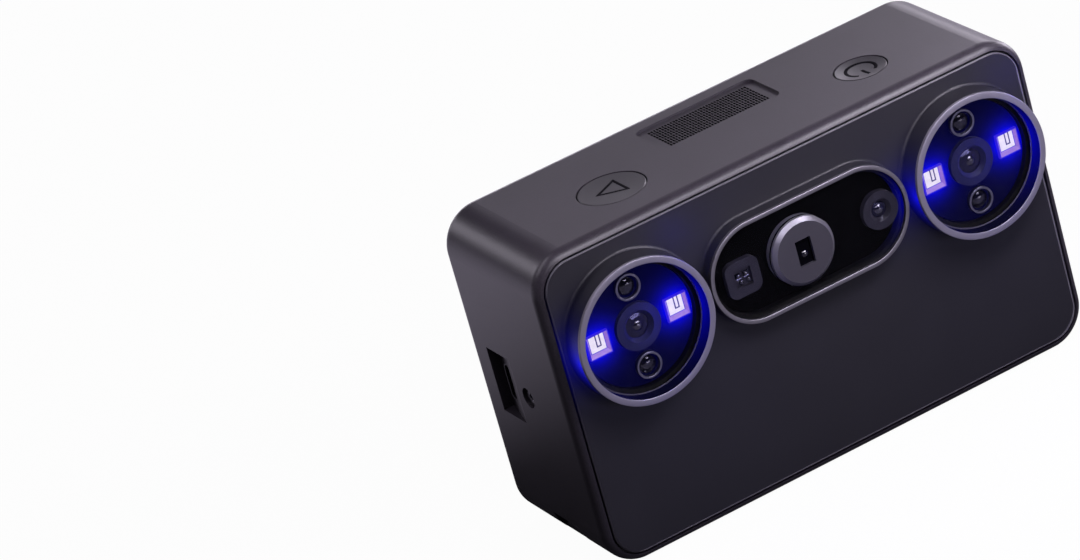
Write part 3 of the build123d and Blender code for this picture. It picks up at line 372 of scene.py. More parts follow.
# %% Glass and optics
def clear_glass(name, code, mirror):
    """Clear coated glass; the coating weakens the mirror, faint dust lifts the roughness in spots."""
    settings = {"Base Color": tone(code), "Transmission Weight": 1.0, "Specular Tint": tone(mirror)}
    return grained(name, {"IOR": 1.45, **settings}, 3.0, 3.0, rough=(0.0, 0.04, 0.55))


def black_part(name, dark, light, rough, grain_mm, shine=0.2):
    """Black moulded or painted part inside the optics, with hardly any shine."""
    return moulded(name, dark, light, rough, grain_mm, 0.03, shine)


glazed = ["window_left", "window_right", "pill_window"]
dress(clear_glass("coated_window_glass", "#dcdce6", "#121216"), *glazed)
dress(clear_glass("display_cover_glass", "#e6e6ea", "#5a5a64"), "display_glass")
dress(clear_glass("coated_lens_glass", "#c9cfe8", "#70708a"), "fill_lenses_left", "fill_lenses_right")
for name in (*glazed, "display_glass"):
    nodes[name].visible_shadow = False
dress(black_part("matt_black_optics", "#020203", "#050506", 0.8, 0.3, 0.02), "projector_carrier",
      "camera_housing_left", "camera_housing_right", "display_panel")
dress(black_part("half_gloss_lens_barrel", "#26252c", "#313037", 0.4, 0.2), "range_module", "colour_camera")
# The stereo barrels take a blue-tinted copy of the barrel finish: painted light from the blue lamps beside
# them.
dress(black_part("blue_lit_lens_barrel", "#1b1c3c", "#25264a", 0.4, 0.2), "stereo_camera_left",
      "stereo_camera_right")
dress(black_part("moulded_component_black", "#1c1c1e", "#262628", 0.5, 0.3), "scan_switch", "power_switch",
      "mode_switch_body", "microphone", "fan_frame", "fan_rotor", "blue_lamps_left", "blue_lamps_right")

# %% [markdown]
# ## Circuit boards, labels and small parts
# Boards are green lacquer over copper tracks, labels are gloss film with a slight orange peel, the battery
# has a satin sleeve. They are mostly hidden, yet each shows through a vent or an open door, so each gets
# its own finish. Bricks with thin joints are enough for the tracks, and one soft noise for the film.

# %% Boards, labels, battery
board_green, shader, spot = new_finish("lacquered_circuit_board", {"Roughness": 0.35, "IOR": 1.5})
tracks = put("TexBrick", {
    "Scale": per_mm(4.0), "Color1": tone("#1d4a33"), "Color2": tone("#235a3d"), "Mortar": tone("#12301f"),
    "Mortar Size": 0.06, "Vector": spot,
})
feed(shader, {"Base Color": tracks.outputs["Color"]})
dress(board_green, "main_board", "scan_board", "power_board", "antenna_board")


def gloss_film(name, dark, light, rough):
    """Thin printed film with a slight orange-peel surface."""
    return grained(name, {"IOR": 1.5}, 1.6, 2.0, (tone(dark), tone(light)), rough=(rough, rough + 0.08),
                   bump=(0.05, 0.02))


dress(gloss_film("gloss_label_film", "#26252a", "#2b2a2f", 0.18), "large_label", "small_label")
dress(gloss_film("satin_battery_sleeve", "#2f3036", "#3a3b42", 0.4), "battery_pack")

# %% [markdown]
# ## Floor and light
# The product stands on white with hardly a shadow. A floor that only the camera sees as plain white keeps
# the light on the object at its normal level. The casing mirrors the floor softly: bright far behind, dark
# near the object, and that gives the long fade on its side. Large soft boxes stand round the object, small
# ones near it draw the bright lip, and small blue lamps stand for the light that leaves the windows.

# %% Floor and world
floor_size, floor_drop = 12.0, -0.2 * MM
deselect()
bpy.ops.mesh.primitive_plane_add(size=floor_size, location=(0, 0, floor_drop))
floor = bpy.context.object
floor.name = "studio_floor"
paper = bpy.data.materials.new("white_floor_paper")
paper.use_nodes = True
tree = paper.node_tree
tree.nodes.clear()
ray = put("LightPath", {}, tree).outputs
hue = mixed(ray["Is Glossy Ray"], (1, 1, 1, 1), tone("#f0e6ff"))
sheet_light = put("Emission", {"Strength": 1.0, "Color": hue})
cover = mixed(ray["Is Camera Ray"], tone("#38383a"), tone("#f4f4f4"))
sheet_dull = put("BsdfDiffuse", {"Color": cover})
along = put("SeparateXYZ", {0: own_place(tree)}).outputs["Y"]
behind = spread(along, 0.01, 0.85, 45 * MM, 135 * MM)
ahead = spread(along, 0.02, 0.13, -10 * MM, -50 * MM)
seen = calc("MULTIPLY", ray["Is Camera Ray"], 0.97)
mirrored = calc("MULTIPLY", calc("MAXIMUM", behind, ahead), ray["Is Glossy Ray"])
through = calc("MULTIPLY", ray["Is Transmission Ray"], 0.5)
most = calc("MAXIMUM", calc("MAXIMUM", seen, mirrored), through)
sheet = put("MixShader", {0: most, 1: sheet_dull.outputs[0], 2: sheet_light.outputs[0]})
put("OutputMaterial", {"Surface": sheet.outputs[0]})
floor.data.materials.append(paper)
floor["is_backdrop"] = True

world = bpy.data.worlds.new("soft_studio")
bpy.context.scene.world = world
world.use_nodes = True
feed(world.node_tree.nodes["Background"], {"Color": tone("#8c8a90"), "Strength": 0.06})
print("floor", floor.name, "world", world.name)

# %% Lamps
def new_lamp(kind, name, place, watts, code):
    """Lamp that the camera doesn't see."""
    deselect()
    bpy.ops.object.light_add(type=kind, location=place)
    lamp = bpy.context.object
    lamp.name = name
    lamp.data.energy = watts
    lamp.data.color = tone(code)[:3]
    lamp.visible_camera = False
    return lamp


def soft_box(name, place, size, watts, aim=(0, 0, 0.04)):
    """Rectangular soft box at a place, aimed at a point."""
    lamp = new_lamp("AREA", name, place, watts, "#f7f0ff")
    lamp.data.shape = "RECTANGLE"
    lamp.data.size, lamp.data.size_y = size
    lamp.rotation_euler = (Vector(aim) - Vector(place)).to_track_quat("-Z", "Y").to_euler()


boxes = [
    ("box_behind_right", (0.455, 1.09, 0.586), (0.6, 0.45), 0.45),
    ("box_behind_far_right", (0.90, 0.95, 0.50), (0.5, 0.4), 3.6),
    ("strip_behind_left", (-0.58, 1.22, 0.53), (0.16, 0.5), 2.4),
    ("box_front_right", (0.42, -0.87, 0.72), (0.4, 0.3), 2.2),
    ("box_front_low", (0.30, -0.90, 0.08), (0.45, 0.14), 1.1),
    ("box_right_side", (1.15, 0.45, 0.25), (0.5, 0.4), 7.0),
    ("box_rear_low", (0.25, 1.30, 0.10), (0.7, 0.2), 2.6),
    ("box_front_near", (0.03, -0.11, 0.16), (0.14, 0.04), 0.14, (0.02, -0.018, 0.06)),
    ("box_top_left", (-0.05, -0.07, 0.13), (0.05, 0.03), 0.020, (-0.04, -0.018, 0.06)),
    ("box_top_right", (0.07, -0.07, 0.13), (0.05, 0.03), 0.055, (0.05, -0.018, 0.06)),
    ("box_left_near", (-0.09, 0.00, 0.12), (0.015, 0.05), 0.012, (-0.0625, 0.005, 0.06)),
]
for row in boxes:
    soft_box(*row)


def at_depth(spot, y):
    """The same place at another depth."""
    return Vector((spot.x, y, spot.z))


def blue_spill(name, place, watts):
    """Small lamp for the blue light that leaves a window and falls on the casing round it."""
    lamp = new_lamp("POINT", name, place, watts, "#3a34ff")
    lamp.data.shadow_soft_size = 1.5 * MM
    lamp.visible_glossy = lamp.visible_transmission = False


spills = [("above", (15, -7, 14), 0.002), ("in", (9, -5, 1), 0.008), ("ahead_of", (6, -30, -14), 0.006)]
for hand, eye in eyes.items():
    for where, shift_mm, watts in spills:
        blue_spill(f"blue_{where}_{hand}", at_depth(eye, front_y) + Vector(shift_mm) * MM, watts)
print("soft boxes", len(boxes), "blue lamps", len(eyes) * len(spills))

# %% [markdown]
# ## Working by hand in code
# New pieces start as a primitive and are shaped in edit mode. A few small helpers keep that readable: they
# add a primitive with nothing else selected, select parts of the open mesh by place and direction, leave
# a band of a flat piece, give it thickness, and close the piece and let it ride on a body.

# %% Helpers for modelling
tiny = 1e-6


def fresh(add, name, **settings):
    """Add one primitive with nothing else selected, and open it for editing."""
    deselect()
    add(**settings)
    piece = bpy.context.object
    piece.name = piece.data.name = name
    bpy.ops.object.mode_set(mode="EDIT")
    return piece


def disc(name, corners, radius, place, turn=(0, 0, 0)):
    """Start a piece with one filled circle."""
    return fresh(bpy.ops.mesh.primitive_circle_add, name, vertices=corners, radius=radius, fill_type="NGON",
                 location=place, rotation=turn)


def pick(piece, test, kind="FACE"):
    """Select faces, edges or corners of the open mesh by a test on their place and direction."""
    bpy.ops.mesh.select_mode(type=kind)
    bpy.ops.mesh.select_all(action="DESELECT")
    mesh = bmesh.from_edit_mesh(piece.data)
    world = piece.matrix_world
    for part in {"FACE": mesh.faces, "EDGE": mesh.edges, "VERT": mesh.verts}[kind]:
        corners = [part] if kind == "VERT" else part.verts
        spot = sum((corner.co for corner in corners), Vector()) / len(corners)
        aim = corners[1].co - corners[0].co if kind == "EDGE" else part.normal
        part.select_set(bool(test(world @ spot, (world.to_3x3() @ aim).normalized())))
    mesh.select_flush_mode()
    bmesh.update_edit_mesh(piece.data)


def pick_all(kind="FACE"):
    """Select the whole open mesh."""
    bpy.ops.mesh.select_mode(type=kind)
    bpy.ops.mesh.select_all(action="SELECT")


def open_middle(width):
    """Leave a band of a width along the border of the selected face."""
    bpy.ops.mesh.inset(thickness=width)
    bpy.ops.mesh.delete(type="FACE")


def thicken(shift):
    """Extrude the whole flat piece by a shift."""
    pick_all()
    bpy.ops.mesh.extrude_region_move(TRANSFORM_OT_translate={"value": shift})


def close(piece, *finishes, body="casing", slot=None, smooth=35):
    """Merge, turn faces outwards, put the place into the mesh and ride on a body."""
    pick_all()
    bpy.ops.mesh.remove_doubles(threshold=tiny)
    bpy.ops.mesh.normals_make_consistent(inside=False)
    bpy.ops.object.mode_set(mode="OBJECT")
    bpy.ops.object.transform_apply(location=True, rotation=True, scale=True)
    bpy.ops.object.shade_smooth_by_angle(angle=radians(smooth))
    for finish in finishes:
        piece.data.materials.append(finish)
    if body:
        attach(piece, body)
    print(piece.name, "faces", len(piece.data.polygons))
    return piece


def copy_to(piece, name, shift):
    """Copy a closed piece with its own mesh, moved by a shift."""
    twin = piece.copy()
    twin.data = piece.data.copy()
    twin.name = twin.data.name = name
    bpy.context.collection.objects.link(twin)
    twin.data.transform(Matrix.Translation(shift))
    return twin

# %% [markdown]
# ## Window rings
# Each round window is held by a turned ring with a softly rounded front. A torus would be too round and a
# cylinder too sharp. So a filled circle is inset, its middle is deleted, the band left over is extruded to
# its depth, and only the two round front edges are bevelled. The long window has the same kind of rim, as
# a pill: a circle whose left and right corners are pulled apart before the same steps.

# %% Model the rings
upright = (pi / 2, 0, 0)


def outward(spot, centre, reach):
    """Direction away from a ring's axis; a pill's axis reaches to both sides."""
    axis_x = centre.x + max(-reach, min(reach, spot.x - centre.x))
    return Vector((spot.x - axis_x, 0, spot.z - centre.z)).normalized()


def turned_ring(name, centre, outer, inner, front, back, roundness, *finishes, reach=0.0, smooth=50,
                **ride):
    """Flat ring or pill about an axis along Y, with its front edges rounded."""
    ring = disc(name, 128, outer, at_depth(centre, front), upright)
    for way in (1, -1) if reach else ():
        pick(ring, lambda spot, aim: (spot.x - centre.x) * way > tiny, "VERT")
        bpy.ops.transform.translate(value=(way * reach, 0, 0))
    pick_all()
    open_middle(outer - inner)
    thicken((0, back - front, 0))

    def front_edge(spot, aim):
        return spot.y < front + tiny and abs(aim.dot(outward(spot, centre, reach))) < 0.3

    pick(ring, front_edge, "EDGE")
    bpy.ops.mesh.bevel(offset=roundness, segments=4, profile=0.5)
    return close(ring, *finishes, smooth=smooth, **ride)


bore_black = black_part("blackened_ring_bore", "#19181e", "#232229", 0.6, 0.3, 0.1)


def darken_bore(ring, centre, reach=0.0):
    """Give the faces that look at the axis the second finish."""
    for face in ring.data.polygons:
        face.material_index = int(face.normal.dot(outward(face.center, centre, reach)) < -0.9)


ring_bore, ring_round = 14.95 * MM, 0.14 * MM
for hand, eye in eyes.items():
    low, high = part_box(f"lens_ring_{hand}")
    ring_outer = (high.x - low.x) / 2
    ring = turned_ring(f"window_ring_{hand}", eye, ring_outer, ring_bore, low.y, high.y, ring_round,
                       ring_metal[hand], bore_black, slot="ring_alloy")
    darken_bore(ring, eye)
    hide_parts(f"lens_ring_{hand}")

# %% Model the pill rim
low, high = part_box("pill_rim")
pill_mid = (low + high) / 2
pill_half, rim_round = (high.z - low.z) / 2, 0.12 * MM
pill_reach = (high.x - low.x) / 2 - pill_half
pill_inner = pill_half - (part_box("pill_window")[0].x - low.x)
rim = turned_ring("pill_rim_band", pill_mid, pill_half, pill_inner, low.y, high.y, rim_round, rim_metal,
                  bore_black, reach=pill_reach, slot="ring_alloy")
darken_bore(rim, pill_mid, pill_reach)
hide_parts("pill_rim")

# %% [markdown]
# ## Gaskets under the rings
# A thin grey seal lies on each window where it meets the wall of the ring. From the upper left only its
# far half shows, as a fine arc. It is the same ring again, only flatter.

# %% Model the gaskets
seal_rubber = black_part("grey_seal_rubber", "#44424b", "#54525b", 0.4, 0.3)
seal_outer, seal_inner, seal_thick, seal_round = 14.86 * MM, 14.56 * MM, 0.14 * MM, 0.05 * MM
for hand, eye in eyes.items():
    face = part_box(f"window_{hand}")[0].y
    turned_ring(f"window_seal_{hand}", eye, seal_outer, seal_inner, face - seal_thick, face, seal_round,
                seal_rubber, slot="ring_alloy")

# %% [markdown]
# ## Blue lamps
# Each lamp is a square package: a shallow cup with a glowing chip on its floor and a thin dark line of
# contacts on the chip. The cup matters, because from the side one sees the far walls lit by the chip. A
# cube's front is inset twice, the second time with depth, and the chip's face is cut into cells so that
# the cells of the contact line can be picked by place.

# %% Lamp finishes
def glowing(name, code, strength, patch_mm):
    """Light-giving surface whose brightness varies a little in patches."""
    settings = {"Base Color": tone("#1a1a24"), "Roughness": 0.4, "Emission Strength": strength}
    return grained(name, settings, patch_mm, 2.0, (tone(code, 0.82), tone(code)), (0.25, 0.7), lit=True)


chip_glow = glowing("glowing_lamp_chip", "#fdf4ff", 1.25, 1.2)
cup_glow = glowing("violet_lit_lamp_cup", "#b98cff", 0.85, 0.7)
# The case round the cup gives off blue light too: painted light for the glow round each lamp.
case_glow = glowing("blue_lit_lamp_case", "#3a22ff", 0.9, 0.7)
line_glow = glowing("dim_lamp_contact", "#5b48b8", 0.6, 0.5)

# %% Model one lamp
lamp_step = 9.8 * MM
case_edge, cup_wall, cup_depth, chip_edge = 0.22 * MM, 0.5 * MM, 0.62 * MM, 0.16 * MM
chip_shift = Vector((-0.06, 0, 0.34)) * MM
chip_cells = 12
low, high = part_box("blue_lamps_left")
lamp_size = high.z - low.z
lamp_mid = at_depth(eyes["left"], (low.y + high.y) / 2) - Vector((lamp_step, 0, 0))
lamp = fresh(bpy.ops.mesh.primitive_cube_add, "lamp_model", size=lamp_size, location=lamp_mid)
bpy.ops.transform.resize(value=(1, (high.y - low.y) / lamp_size, 1))
pick(lamp, lambda spot, aim: aim.y < -0.9)
bpy.ops.mesh.inset(thickness=case_edge)
bpy.ops.mesh.inset(thickness=cup_wall, depth=-cup_depth)
bpy.ops.transform.translate(value=chip_shift)
bpy.ops.mesh.inset(thickness=chip_edge)
bpy.ops.mesh.subdivide(number_cuts=chip_cells - 1)
close(lamp, case_glow, cup_glow, chip_glow, line_glow, body=None, smooth=20)

# %% Colour the lamp's faces and make the pairs
chip_mid = lamp_mid + chip_shift
chip_half = lamp_size / 2 - (case_edge + cup_wall + chip_edge)
cup_floor = low.y + cup_depth
for face in lamp.data.polygons:
    spot = face.center - chip_mid
    on_chip = max(abs(spot.x), abs(spot.z)) < chip_half - tiny
    if abs(face.center.y - cup_floor) < tiny and on_chip:
        column, row = (int((part + chip_half) / (2 * chip_half) * chip_cells) for part in (spot.x, spot.z))
        contact = (column in (5, 8) and row > 3) or (row == 3 and 5 <= column <= 8)
        face.material_index = 3 if contact else 2
    elif 0.05 < abs(face.normal.y) < 0.95:
        face.material_index = 1


def joined(name, pieces, slot, *replaced):
    """Join pieces into one, which may stand for CAD nodes."""
    deselect()
    for piece in pieces:
        piece.select_set(True)
    bpy.context.view_layer.objects.active = pieces[0]
    bpy.ops.object.join()
    whole = bpy.context.object
    whole.name = whole.data.name = name
    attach(whole, "casing")
    if replaced:
        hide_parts(*replaced)
    print(name, "faces", len(whole.data.polygons))


across = Vector((2 * lamp_step, 0, 0))
apart = eyes["right"] - eyes["left"]
right_lamps = [copy_to(lamp, "lamp_c", apart), copy_to(lamp, "lamp_d", apart + across)]
joined("lamp_pair_left", [lamp, copy_to(lamp, "lamp_b", across)], "blue_lamp", "blue_lamps_left")
joined("lamp_pair_right", right_lamps, "blue_lamp", "blue_lamps_right")

# %% [markdown]
# ## Blue light round the lamps
# The lamps stand on matt black boards and flood them with blue light, and some of it grazes the boss at the
# left of each ring. Light through a glass window is slow to trace, so these surfaces give off that light
# themselves: its strength falls away from a place, measured in the object's own coordinates, so it stays
# put from every side.

# %% Lit boards
def light_up(material, spots, edge, reach, least):
    """Add blue light that falls off from some places; it has full strength out to the edge."""
    here, total = own_place(material.node_tree), least
    for place in spots:
        past = calc("SUBTRACT", edge, vector("DISTANCE", here, place))
        total = calc("ADD", total, calc("EXPONENT", calc("DIVIDE", past, reach)))
    light = mixed(total, (0, 0, 0, 1), tone("#0404ff"))
    feed(material.node_tree.nodes["Principled BSDF"], {"Emission Color": light, "Emission Strength": 1.0})


def lit_black(name, spots, reach, least):
    """Matt black part with blue light from the lamps on it."""
    material = black_part(name, "#060608", "#08080b", 0.8, 0.3, 0.03)
    light_up(material, spots, 2.9 * MM, reach, least)
    return material


lamp_spots = {}
for hand, eye in eyes.items():
    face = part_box(f"light_board_{hand}")[0].y
    lamp_spots[hand] = [(eye.x + way * lamp_step, face, eye.z) for way in (-1, 1)]
    dress(lit_black(f"lamp_lit_board_{hand}", lamp_spots[hand], 1.7 * MM, 0.022), f"light_board_{hand}")
grazed = [(eye.x - ring_outer, front_y - 5.0 * MM, eye.z - 0.8 * MM) for eye in eyes.values()]
light_up(front_satin, grazed, -0.8 * MM, 2.7 * MM, 0.0)
print("lit", len(lamp_spots), "boards and", len(grazed), "bosses")

# %% [markdown]
# ## Sleeves in the round openings
# A thin black sleeve lines each opening between the window and its ring and keeps stray light out. The lamp
# beside it still lights a patch of it. So it takes the same kind of finish as the boards, with a wider
# fall-off, and the inside of the ring takes it too.

# %% Model the sleeves
sleeve_outer, sleeve_inner, sleeve_round = 14.94 * MM, 14.87 * MM, 0.01 * MM
for hand, eye in eyes.items():
    lit_bore = lit_black(f"lamp_lit_bore_{hand}", lamp_spots[hand], 2.6 * MM, 0.004)
    front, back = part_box(f"lens_ring_{hand}")[1].y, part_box(f"window_{hand}")[0].y
    turned_ring(f"bore_sleeve_{hand}", eye, sleeve_outer, sleeve_inner, front, back, sleeve_round, lit_bore,
                slot="lens_barrel")
    bpy.data.objects[f"window_ring_{hand}"].data.materials[1] = lit_bore

# %% [markdown]
# ## Lenses
# Each camera shows a front element as a low dark dome in its barrel, with a small steep element in its
# middle that catches a glint from every side. The small fill lamps have a dome in a bright collar. A dome
# is the cap of a sphere: the sphere is cut by a plane and the cut is filled. Its shine comes from a low
# roughness and a high index, as on coated glass over a dark inside.

# %% Lens finishes
def polished_lens(name, code, tint, index=1.75):
    """Front element over a dark inside; its coating tints the reflection."""
    settings = {"IOR": index, "Specular Tint": tone(tint)}
    return grained(name, settings, 2.5, 1.0, (tone(code, 0.6), tone(code)), rough=(0.02, 0.07))


stereo_glass = polished_lens("coated_stereo_lens", "#0a0a1c", "#c8c8ff")
fill_glass = polished_lens("clear_fill_lens", "#0c0c1a", "#ffffff")
bead_glass = polished_lens("polished_inner_lens", "#101024", "#ffffff", 2.2)
dress(polished_lens("coated_projector_lens", "#060609", "#30304a"), "projector_window")
collar_metal = brushed("bright_fill_collar", "#8f8f9c", 0.3)
print("solids without a finish:", sorted(set(nodes) - dressed))

# %% Model the camera lenses
def dome(name, x, z, tip, radius, curve, finish, body="casing", smooth=50):
    """Cap of a sphere that looks forward from its tip, closed at the back."""
    sag = curve - sqrt(curve**2 - radius**2)
    cap = fresh(bpy.ops.mesh.primitive_uv_sphere_add, name, segments=48, ring_count=48, radius=curve,
                location=(x, tip + curve, z), rotation=upright)
    bpy.ops.mesh.bisect(plane_co=(x, tip + sag, z), plane_no=(0, 1, 0), use_fill=True, clear_outer=True)
    return close(cap, finish, body=body, slot="lens_glass", smooth=smooth)


def camera_lens(kind, end, node, centre, sink, radius, curve):
    """Front element and steep middle element of one camera; end is the end of both names."""
    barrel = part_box(node)[0].y
    dome(f"{kind}_lens{end}", centre.x, centre.z, barrel + sink, radius, curve, stereo_glass)
    dome(f"{kind}_bead{end}", centre.x, centre.z, barrel + 0.05 * MM, 1.5 * MM, 1.6 * MM, bead_glass)


for hand, eye in eyes.items():
    camera_lens("stereo", f"_{hand}", f"stereo_camera_{hand}", eye, 0.45 * MM, 2.75 * MM, 9.0 * MM)
camera_lens("colour", "", "colour_camera", middle("colour_camera"), 0.5 * MM, 1.75 * MM, 6.0 * MM)
slot_mid, slot_face = middle("projector_window"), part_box("projector_window")[0].y
dome("projector_bead", slot_mid.x + 0.1 * MM, slot_mid.z - 0.7 * MM, slot_face - 0.5 * MM, 0.9 * MM, 1.0 * MM,
     bead_glass)

# %% Model the fill lenses
fill_step, fill_radius, fill_curve, fill_sink = 9.4 * MM, 2.5 * MM, 2.9 * MM, 0.2 * MM
collar_outer, collar_round = 3.05 * MM, 0.12 * MM
below = Vector((0, 0, -2 * fill_step))
for hand, eye in eyes.items():
    low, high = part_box(f"fill_lenses_{hand}")
    upper = Vector((eye.x, 0, eye.z + fill_step))
    collar = turned_ring(f"collar_{hand}", upper, collar_outer, fill_radius, low.y, high.y, collar_round,
                         collar_metal, body=None, smooth=35)
    glass = dome(f"fill_dome_{hand}", upper.x, upper.z, low.y + fill_sink, fill_radius, fill_curve,
                 fill_glass, body=None, smooth=35)
    pieces = [collar, glass, copy_to(collar, "collar_b", below), copy_to(glass, "dome_b", below)]
    joined(f"fill_lens_pair_{hand}", pieces, "lens_glass", f"fill_lenses_{hand}")

# %% [markdown]
# ## Inside the square sensor
# The range sensor is a square block with a small sunk window, and two chips and four tiny lenses glint at
# its floor. One chip is a cube with an inset top and one lens a small dome; both are copied for the rest.

# %% Model the sensor's chips
chip_face = brushed("polished_sensor_chip", "#6a6a80", 0.2)
window_sink, chip_width, chip_thick = 0.9 * MM, 1.3 * MM, 0.4 * MM
sensor, sunk = middle("range_module"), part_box("range_module")[0].y + window_sink
chip_x, chip_z = sensor.x - 0.95 * MM, sensor.z + 0.5 * MM
chip = fresh(bpy.ops.mesh.primitive_cube_add, "sensor_chip_a", size=chip_width,
             location=(chip_x, sunk - chip_thick / 2, chip_z))
bpy.ops.transform.resize(value=(1, chip_thick / chip_width, 1))
pick(chip, lambda spot, aim: aim.y < -0.9)
bpy.ops.mesh.inset(thickness=0.2 * MM, depth=-0.12 * MM)
close(chip, chip_face, body=None, smooth=20)
bead = dome("sensor_bead_a", chip_x, chip_z, sunk - 0.7 * MM, 0.55 * MM, 0.6 * MM, bead_glass, body=None)
aside, lower = Vector((1.9, 0, 0)) * MM, Vector((0.5, 0.1, -1.6)) * MM
steps = (aside, lower, aside + lower)
beads = [copy_to(bead, f"sensor_bead_{number}", step) for number, step in enumerate(steps)]
joined("sensor_chips", [chip, copy_to(chip, "sensor_chip_b", aside), bead, *beads], "lens_barrel")

# %% [markdown]
# ## Vent plates
# The vents are thin plates with hundreds of fine slots. Cutting each slot with a modifier would be slow. A
# grid already has the cells: the cells of the slotted field are inset one by one and pushed down, and the
# grid's border is extruded outwards into the plain margin with round corners.

# %% Model the vent plates
def pick_border():
    """Select the open border of the mesh."""
    bpy.ops.mesh.select_mode(type="EDGE")
    bpy.ops.mesh.select_non_manifold(extend=False, use_wire=False, use_multi_face=False,
                                     use_non_contiguous=False, use_verts=False)


def vent(node, name, field, cells, wall, slotted):
    """Slotted plate in a node's place; field is its slotted width and length, cells their counts."""
    low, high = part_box(node)
    mid, size = (low + high) / 2, high - low
    up = 1 if mid.z > top_z / 2 else -1
    face = Vector((mid.x, mid.y, high.z if up > 0 else low.z))
    plate = fresh(bpy.ops.mesh.primitive_grid_add, name, x_subdivisions=cells[0], y_subdivisions=cells[1],
                  size=1.0, location=face, rotation=(0 if up > 0 else pi, 0, 0))
    bpy.ops.transform.resize(value=(*field, 1), center_override=face)
    pick(plate, lambda spot, aim: slotted((spot.y - mid.y) / field[1]))
    bpy.ops.mesh.inset(thickness=wall / 2, use_individual=True)
    bpy.ops.mesh.extrude_faces_move(TRANSFORM_OT_shrink_fatten={"value": -0.9 * size.z})
    pick_border()
    bpy.ops.mesh.extrude_edges_move()
    bpy.ops.transform.resize(value=(size.x / field[0], size.y / field[1], 1), center_override=face)
    near = 10 * tiny
    pick(plate, lambda spot, aim: all(abs(spot[i] - mid[i]) > size[i] / 2 - near for i in (0, 1)), "VERT")
    bpy.ops.mesh.bevel(offset=2.0 * MM, segments=6, affect="VERTICES")
    pick_border()
    bpy.ops.mesh.extrude_edges_move(TRANSFORM_OT_translate={"value": (0, 0, -up * size.z)})
    close(plate, casing_plastic, vent_slot_shade, slot="grille_plastic", smooth=25)
    # Faces of the slots below the plate's face take the second finish, near black as painted shade.
    for side in plate.data.polygons:
        in_field = all(abs(side.center[i] - mid[i]) < field[i] / 2 for i in (0, 1))
        side.material_index = int(in_field and abs(side.center.z - face.z) > 0.05 * MM)
    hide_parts(node)


# The slots' walls and floors are near black: painted shade for the dark inside behind the slots.
vent_slot_shade = black_part("painted_shade_vent_slots", "#08070a", "#0d0c0f", 0.7, 0.3, 0.05)
vent("top_grille", "top_vent_plate", (25.6 * MM, 10.8 * MM), (36, 9), 0.2 * MM, lambda share: True)
vent("bottom_grille", "bottom_vent_plate", (12.6 * MM, 22.6 * MM), (18, 21), 0.24 * MM,
     lambda share: share < -0.25 or share > -0.13)

# %% [markdown]
# ## Marks on the buttons
# The scan button carries an open triangle and the power button the usual broken ring with a bar, both sunk
# into the cap. Their near-black colour is painted shade for the grooves. They follow the dished caps, so
# each mark is drawn flat and then laid on its cap by a shrinkwrap before it gets a little thickness.

# %% Model the marks
# The marks are near black: painted shade for their sunk grooves.
mark_groove_shade = black_part("painted_shade_sunk_mark", "#0a090d", "#111015", 0.7, 0.2, 0.03)


def lay_on(mark, cap, body):
    """Lay a flat mark on a cap and give it a hair's thickness."""
    bpy.ops.mesh.select_all(action="SELECT")
    bpy.ops.mesh.subdivide(number_cuts=2)
    close(mark, mark_groove_shade, body=body, slot="cap_plastic", smooth=40)
    wrap = mark.modifiers.new("lay", "SHRINKWRAP")
    wrap.target = nodes[cap]
    wrap.wrap_method = "PROJECT"
    wrap.use_project_z = wrap.use_negative_direction = wrap.use_positive_direction = True
    wrap.offset = 0.012 * MM
    bpy.ops.object.modifier_apply(modifier="lay")
    skin = mark.modifiers.new("skin", "SOLIDIFY")
    skin.thickness = 0.01 * MM
    bpy.ops.object.modifier_apply(modifier="skin")


scan_mid = middle("scan_button")
triangle_size, triangle_shift, triangle_line = 4.5 * MM, 0.3 * MM, 0.68 * MM
triangle_mid = (scan_mid.x + triangle_shift, scan_mid.y, top_z)
mark = disc("triangle_mark", 3, triangle_size, triangle_mid, (0, 0, pi / 2))
bpy.ops.mesh.bevel(offset=0.35 * MM, segments=4, affect="VERTICES")
pick_all()
open_middle(triangle_line)
lay_on(mark, "scan_button", "scan_cap")

power_mid = middle("power_button")
ring_size, ring_line, ring_gap = 3.75 * MM, 0.8 * MM, radians(38)
bar_mid, bar_wide, bar_long = Vector((power_mid.x, power_mid.y - 2.0 * MM, top_z)), 0.75 * MM, 3.4 * MM
mark = disc("power_mark", 64, ring_size, (power_mid.x, power_mid.y, top_z))
open_middle(ring_line)
pick(mark, lambda spot, aim: abs(atan2(spot.x - power_mid.x, power_mid.y - spot.y)) < ring_gap)
bpy.ops.mesh.delete(type="FACE")
bpy.ops.mesh.primitive_plane_add(size=bar_wide, location=bar_mid)
bpy.ops.transform.resize(value=(1, bar_long / bar_wide, 1), center_override=bar_mid)
lay_on(mark, "power_button", "power_cap")

# %% [markdown]
# ## What the screen shows
# The rear display is on: a dark field with a few readings round a blue scan of a vase. An image texture
# would be the usual way, but shapes stay sharp at any distance. So each reading is a thin lit piece that
# lies just under the cover glass, and words and numbers are text turned into mesh.

# %% Screen finishes and helpers
screen_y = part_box("display_glass")[0].y
film = 0.02 * MM
ui_y = screen_y + 4 * film
to_rear = (pi / 2, 0, pi)
pixel_white, pixel_blue, pixel_green, pixel_red = (
    glowing(f"lit_{hue}_pixels", code, 0.85, 4.0)
    for hue, code in (("white", "#e9ebee"), ("blue", "#2f78d8"), ("green", "#22b24c"), ("red", "#e0412f"))
)
pixel_dark = glowing("dark_lit_screen", "#202224", 0.9, 30.0)


def on_screen(piece, *finishes):
    """Give a flat piece a hair's thickness towards the glass and close it."""
    thicken((0, film, 0))
    close(piece, *finishes, slot="display_panel", smooth=30)


